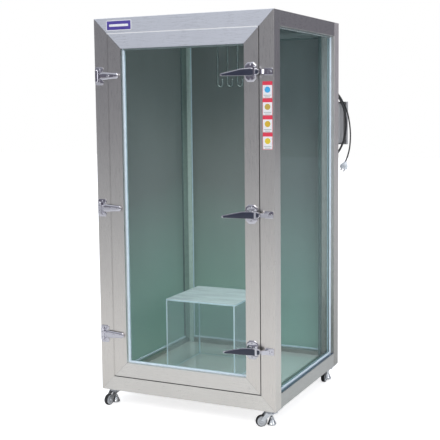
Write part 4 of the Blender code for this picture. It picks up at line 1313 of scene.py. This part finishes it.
def cover_lid():
    """The case's cover: a hollow lid, with an opening for the rocker."""
    low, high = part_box("control_cover")
    rocker_low, rocker_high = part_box("rocker_switch")
    room, wall = 0.0012, 0.0030
    near, far = low.y, high.y - COVER_RECESS
    outline = (low.x, low.z, high.x, high.z)
    hollow = (low.x + wall, low.z + wall, high.x - wall, high.z - wall)
    hole = (rocker_low.x - room, rocker_low.z - room, rocker_high.x + room, rocker_high.z + room)
    bm = bmesh.new()
    rings = []
    for (x0, z0, x1, z1), y in (
        (outline, near),
        (outline, far),
        (hole, far),
        (hole, far - wall),
        (hollow, far - wall),
        (hollow, near),
    ):
        rings.append([bm.verts.new((x, y, z)) for x, z in ((x0, z0), (x1, z0), (x1, z1), (x0, z1))])
    for one, two in zip(rings, rings[1:] + rings[:1]):
        band(bm, one, two)
    piece("cover_lid", bm, ["paint"], "cabinet", ["control_cover"], bevel=0.0010, segments=2)
    return far


def control_box():
    for node, finish in (("control_box", "paint"), ("ballast", "paint"), ("rocker_switch", "rubber")):
        dress(node, finish)
    face = cover_lid()
    low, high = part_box("control_cover")
    middle_x, middle_z = (low.x + high.x) / 2, (low.z + high.z) / 2
    case_louvres(middle_x, middle_z)
    cover_screws(middle_x, middle_z, face)
    rating_plate(middle_x + 0.030, middle_z - 0.040, face)
    switch_bezel(face)


def case_louvres(middle_x, middle_z):
    """Pressed louvres up both sides of the case."""
    lip = [(0.0, 0.0), (0.0062, 0.0), (0.0050, 0.0020), (0.0020, 0.0030), (0.0006, 0.0026)]
    reach = CASE_HALF_HEIGHT - 0.018
    bm = bmesh.new()
    for way in (-1, 1):
        side = middle_x + way * CASE_HALF_WIDTH
        for i in range(sizes().louvres):
            y = REAR + 0.016 + 0.0098 * i
            place = Matrix(((0, way, 0, side), (1, 0, 0, y), (0, 0, 1, middle_z), (0, 0, 0, 1)))
            prism(bm, lip, -reach, reach, place)
    piece("case_louvres", bm, ["paint"], "cabinet", bevel=0.0005)


def cover_screws(middle_x, middle_z, face):
    bm = bmesh.new()
    for way_x in (-1, 1):
        for way_z in (-1, 1):
            x = middle_x + way_x * (CASE_HALF_WIDTH + 0.0065)
            z = middle_z + way_z * (CASE_HALF_HEIGHT - 0.0010)
            screw_head(bm, backward(x, face, z), 0.0040)
    piece("cover_screws", bm, ["zinc"], "cabinet")


def rating_plate(x, z, face):
    """A blank plate with a rivet in each corner."""
    place = backward(x, face, z)
    rivet = [(0.0, 0.0004), (0.0016, 0.0004), (0.0013, 0.0011), (0.0, 0.0014)]
    bm = bmesh.new()
    plate = prism(bm, rounded(-0.034, -0.024, 0.034, 0.024, 0.003), 0.0, 0.0004, place)
    crown(bm, plate, 0.0004, 0.0002, 2)
    for rivet_x in (-0.030, 0.030):
        for rivet_y in (-0.020, 0.020):
            lathe(bm, rivet, 14, place @ at(rivet_x, rivet_y, 0.0))
    piece("blank_rating_plate", bm, ["zinc"], "cabinet")


def switch_bezel(face):
    """A raised bezel round the rocker."""
    low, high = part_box("rocker_switch")
    profile = [(0.0, -0.0005), (0.0038, -0.0005), (0.0036, 0.0006), (0.0026, 0.0011), (0.0, 0.0011)]
    place = backward((low.x + high.x) / 2, face, (low.z + high.z) / 2)
    bm = bmesh.new()
    moulding(bm, (-0.0161, -0.0131), (0.0161, 0.0131), profile, place)
    piece("switch_bezel", bm, ["rubber"], "cabinet", sharp=60)


# ---- labels and name plate ----
def labels():
    """Four plain labels down the right stile: a coloured band, a white field, a disc and two rules each."""
    wide, tall = sizes().label_width, sizes().label_height
    low_x, top_z = RIGHT - 0.0555, TOP - 0.312
    for i, shade in enumerate(("label_blue", "label_gold", "label_amber", "label_yellow")):
        z = top_z - i * (tall + 0.0012)
        place = facing(low_x, FRONT, z)
        bm = bmesh.new()
        prism(bm, rounded(0.0, -tall, wide, 0.0, 0.0025), SKIN, 0.0006, place, 1)
        prism(bm, rounded(0.0014, 0.0014 - tall, wide - 0.0014, -0.0165, 0.0012), 0.0005, 0.00070, place, 0)
        prism(bm, disc(wide / 2, -0.0365, 0.0135), 0.0006, 0.00090, place, 2)
        for k, share in enumerate((0.78, 0.56)):
            drop = -0.0590 - 0.0072 * k
            bar = rounded(wide * (1 - share) / 2, drop - 0.0030, wide * (1 + share) / 2, drop, 0.0012, 3)
            prism(bm, bar, 0.0006, 0.00085, place, 3)
        looks = ["label_card", "label_header", shade, "label_line"]
        piece(f"label_{i + 1}", bm, looks, "cabinet")


def name_plate():
    """A blank two-tone plate with a pale border."""
    bm = bmesh.new()
    place = facing(LEFT + 0.070, FRONT, TOP - 0.0595)
    prism(bm, rounded(0.0, 0.0, 0.136, 0.048, 0.004), SKIN, 0.0010, place, 0)
    top = prism(bm, rounded(0.0035, 0.0035, 0.1325, 0.0445, 0.002), 0.0009, 0.0014, place, 1)
    crown(bm, top, 0.0010, 0.0004, 2)
    bar = prism(bm, rounded(0.016, 0.0185, 0.120, 0.0295, 0.0030), 0.0012, 0.0021, place, 0)
    crown(bm, bar, 0.0008, 0.0004, 2)
    piece("name_plate", bm, ["label_card", "plate_field"], "cabinet")


# ---- stage ----
def camera(stage):
    azimuth, elevation, roll = (radians(v) for v in (stage.azimuth, stage.elevation, stage.roll))
    back = Vector((sin(azimuth) * cos(elevation), -cos(azimuth) * cos(elevation), sin(elevation)))
    level = Vector((0.0, 0.0, 1.0)).cross(back).normalized()
    upright = back.cross(level)
    right = level * cos(roll) + upright * sin(roll)
    up = upright * cos(roll) - level * sin(roll)
    data = bpy.data.cameras.new("camera")
    data.sensor_width = SENSOR
    data.lens = stage.focal * SENSOR
    data.shift_x, data.shift_y = stage.shift_x, stage.shift_y
    data.clip_end = 60.0
    thing = add_object("camera", data)
    turn = Matrix((right, up, back)).transposed().to_4x4()
    thing.matrix_world = Matrix.Translation(Vector(stage.target) + back * stage.distance) @ turn
    bpy.context.scene.camera = thing


def soft_light(name, place, aim, across, power, shade, spread=180):
    data = bpy.data.lights.new(name, "AREA")
    data.shape = "RECTANGLE"
    data.size, data.size_y = across
    data.energy = power
    data.spread = radians(spread)
    data.color = shade
    thing = add_object(name, data)
    thing.location = place
    thing.rotation_mode = "QUATERNION"
    thing.rotation_quaternion = (Vector(aim) - Vector(place)).to_track_quat("-Z", "Y")
    thing.visible_camera = False


def surroundings():
    """A studio that is dark at eye level and bright above, in front of a white backdrop."""
    world = bpy.data.worlds.new("studio")
    world.use_nodes = True
    nodes = Nodes(world.node_tree)
    way = nodes.node("TexCoord").outputs["Generated"]
    up = Value(nodes, nodes.node("SeparateXYZ", None, {0: way}).outputs[2])
    stops = [
        (0.00, (0.60, 0.58, 0.56)),
        (0.46, (0.56, 0.55, 0.53)),
        (0.49, (0.16, 0.15, 0.19)),
        (0.56, (0.20, 0.20, 0.24)),
        (0.68, (0.58, 0.61, 0.66)),
        (1.00, (0.86, 0.88, 0.92)),
    ]
    room = nodes.node("ValToRGB", {"stops": stops}, {0: up * 0.5 + 0.5}).outputs[0]
    seen = nodes.node("LightPath").outputs["Is Camera Ray"]
    shade = nodes.mix(room, (1.0, 1.0, 1.0), Value(nodes, seen))
    back = nodes.node("Background", None, {"Color": shade, "Strength": 1.0})
    nodes.node("OutputWorld", None, {"Surface": back.outputs[0]})
    bpy.context.scene.world = world


def pale_floor():
    made = Finish("pale_floor")
    seen = Value(made, made.node("LightPath").outputs["Is Camera Ray"])
    made.solid(
        (0.80, 0.80, 0.80),
        vary(1.0, made.noise(1.5, 2.0), 0.02),
        0.6,
        specular_ior_level=0.2,
        emission_color=made.mix((0.0, 0.0, 0.0), (1.0, 1.0, 1.0), seen),
        emission_strength=0.72,
    )
    bm = bmesh.new()
    bmesh.ops.create_grid(bm, x_segments=8, y_segments=8, size=20.0)
    data = bpy.data.meshes.new("floor")
    bm.to_mesh(data)
    bm.free()
    data.materials.append(made.material)
    floor = add_object("floor", data)


# ---- operators ----
class BuildOperator:
    bl_options = {"REGISTER", "UNDO"}

    def execute(self, context):
        self.build()
        return {"FINISHED"}


class CABINET_OT_stage(BuildOperator, Operator):
    """Camera, soft lights, surroundings and floor"""

    bl_idname = "cabinet.stage"
    bl_label = "Stage"

    def build(self):
        scene = bpy.context.scene
        stage = scene.cabinet_stage
        camera(stage)
        surroundings()
        pale_floor()
        middle, floor = (0.0, 0.0, 0.9), (0.0, 0.0, 0.0)
        soft_light("key", (1.0, -4.6, 3.9), middle, (2.4, 2.0), stage.key, (1.0, 0.98, 0.95))
        soft_light("fill", (4.2, -1.4, 2.2), middle, (1.6, 2.6), stage.fill, (0.95, 0.97, 1.0))
        soft_light("over", (0.4, -0.6, 4.6), (0.0, 0.0, 0.5), (2.6, 2.6), stage.over, (0.93, 0.97, 1.0))
        soft_light("chamber", (0.0, 0.0, 1.74), floor, (0.5, 0.4), stage.chamber, (1.0, 0.98, 0.97), 70)
        scene.view_settings.view_transform = "Standard"


class CABINET_OT_cord(BuildOperator, Operator):
    """Mains lead wound round the control box, with its gland and plug"""

    bl_idname = "cabinet.cord"
    bl_label = "Cord"

    def build(self):
        gland_piece()
        plug = plug_piece()
        lead, start = cord_piece()


class CABINET_OT_frame(BuildOperator, Operator):
    """Brushed and polished finishes of the frame, door, rails, roof and floor pan"""

    bl_idname = "cabinet.frame"
    bl_label = "Frame"

    def build(self):
        frame_finishes()
        gap_trim()


class CABINET_OT_glazing(BuildOperator, Operator):
    """Clear and tinted panes, and the bead round each"""

    bl_idname = "cabinet.glazing"
    bl_label = "Glazing"

    def build(self):
        glazing()


class CABINET_OT_hinges(BuildOperator, Operator):
    """Three strap hinges"""

    bl_idname = "cabinet.hinges"
    bl_label = "Hinges"

    def build(self):
        for level in LEVELS:
            hinge(level)


class CABINET_OT_latches(BuildOperator, Operator):
    """Three lever latches with their keepers"""

    bl_idname = "cabinet.latches"
    bl_label = "Latches"

    def build(self):
        for level in LEVELS:
            latch(level)


class CABINET_OT_casters(BuildOperator, Operator):
    """Four casters and levelling feet"""

    bl_idname = "cabinet.casters"
    bl_label = "Casters"

    def build(self):
        for corner in CORNERS:
            caster(corner)


class CABINET_OT_inside(BuildOperator, Operator):
    """Clear bench, hook rail and lamp"""

    bl_idname = "cabinet.inside"
    bl_label = "Inside"

    def build(self):
        bench()
        hooks()
        lamp()


class CABINET_OT_control_box(BuildOperator, Operator):
    """Finishes and fittings of the control box"""

    bl_idname = "cabinet.control_box"
    bl_label = "Control box"

    def build(self):
        control_box()


class CABINET_OT_labels(BuildOperator, Operator):
    """Plain labels and the blank name plate"""

    bl_idname = "cabinet.labels"
    bl_label = "Labels"

    def build(self):
        labels()
        name_plate()


OPERATORS = (
    CABINET_OT_stage,
    CABINET_OT_cord,
    CABINET_OT_frame,
    CABINET_OT_glazing,
    CABINET_OT_hinges,
    CABINET_OT_latches,
    CABINET_OT_casters,
    CABINET_OT_inside,
    CABINET_OT_control_box,
    CABINET_OT_labels,
)


class CABINET_PT_panel(Panel):
    """Lists the steps that dress the cabinet"""

    bl_label = "Cabinet"
    bl_idname = "CABINET_PT_panel"
    bl_space_type = "VIEW_3D"
    bl_region_type = "UI"
    bl_category = "Cabinet"

    def draw(self, context):
        for operator in OPERATORS:
            self.layout.operator(operator.bl_idname)
        for name, kind in GROUPS.items():
            box = self.layout.box()
            for value in kind.__annotations__:
                box.prop(getattr(context.scene, name), value)


GROUPS = {
    "cabinet_sizes": CabinetSizes,
    "cabinet_colours": CabinetColours,
    "cabinet_stage": CabinetStage,
}


def register():
    for made in (*GROUPS.values(), *OPERATORS, CABINET_PT_panel):
        bpy.utils.register_class(made)
    for name, group in GROUPS.items():
        setattr(bpy.types.Scene, name, PointerProperty(type=group))


def unregister():
    for name in GROUPS:
        delattr(bpy.types.Scene, name)
    for made in reversed((*GROUPS.values(), *OPERATORS, CABINET_PT_panel)):
        bpy.utils.unregister_class(made)


def main():
    register()
    bpy.ops.cabinet.stage()
    bpy.ops.cabinet.cord()
    bpy.ops.cabinet.frame()
    bpy.ops.cabinet.glazing()
    bpy.ops.cabinet.hinges()
    bpy.ops.cabinet.latches()
    bpy.ops.cabinet.casters()
    bpy.ops.cabinet.inside()
    bpy.ops.cabinet.control_box()
    bpy.ops.cabinet.labels()


if __name__ == "__main__":
    main()
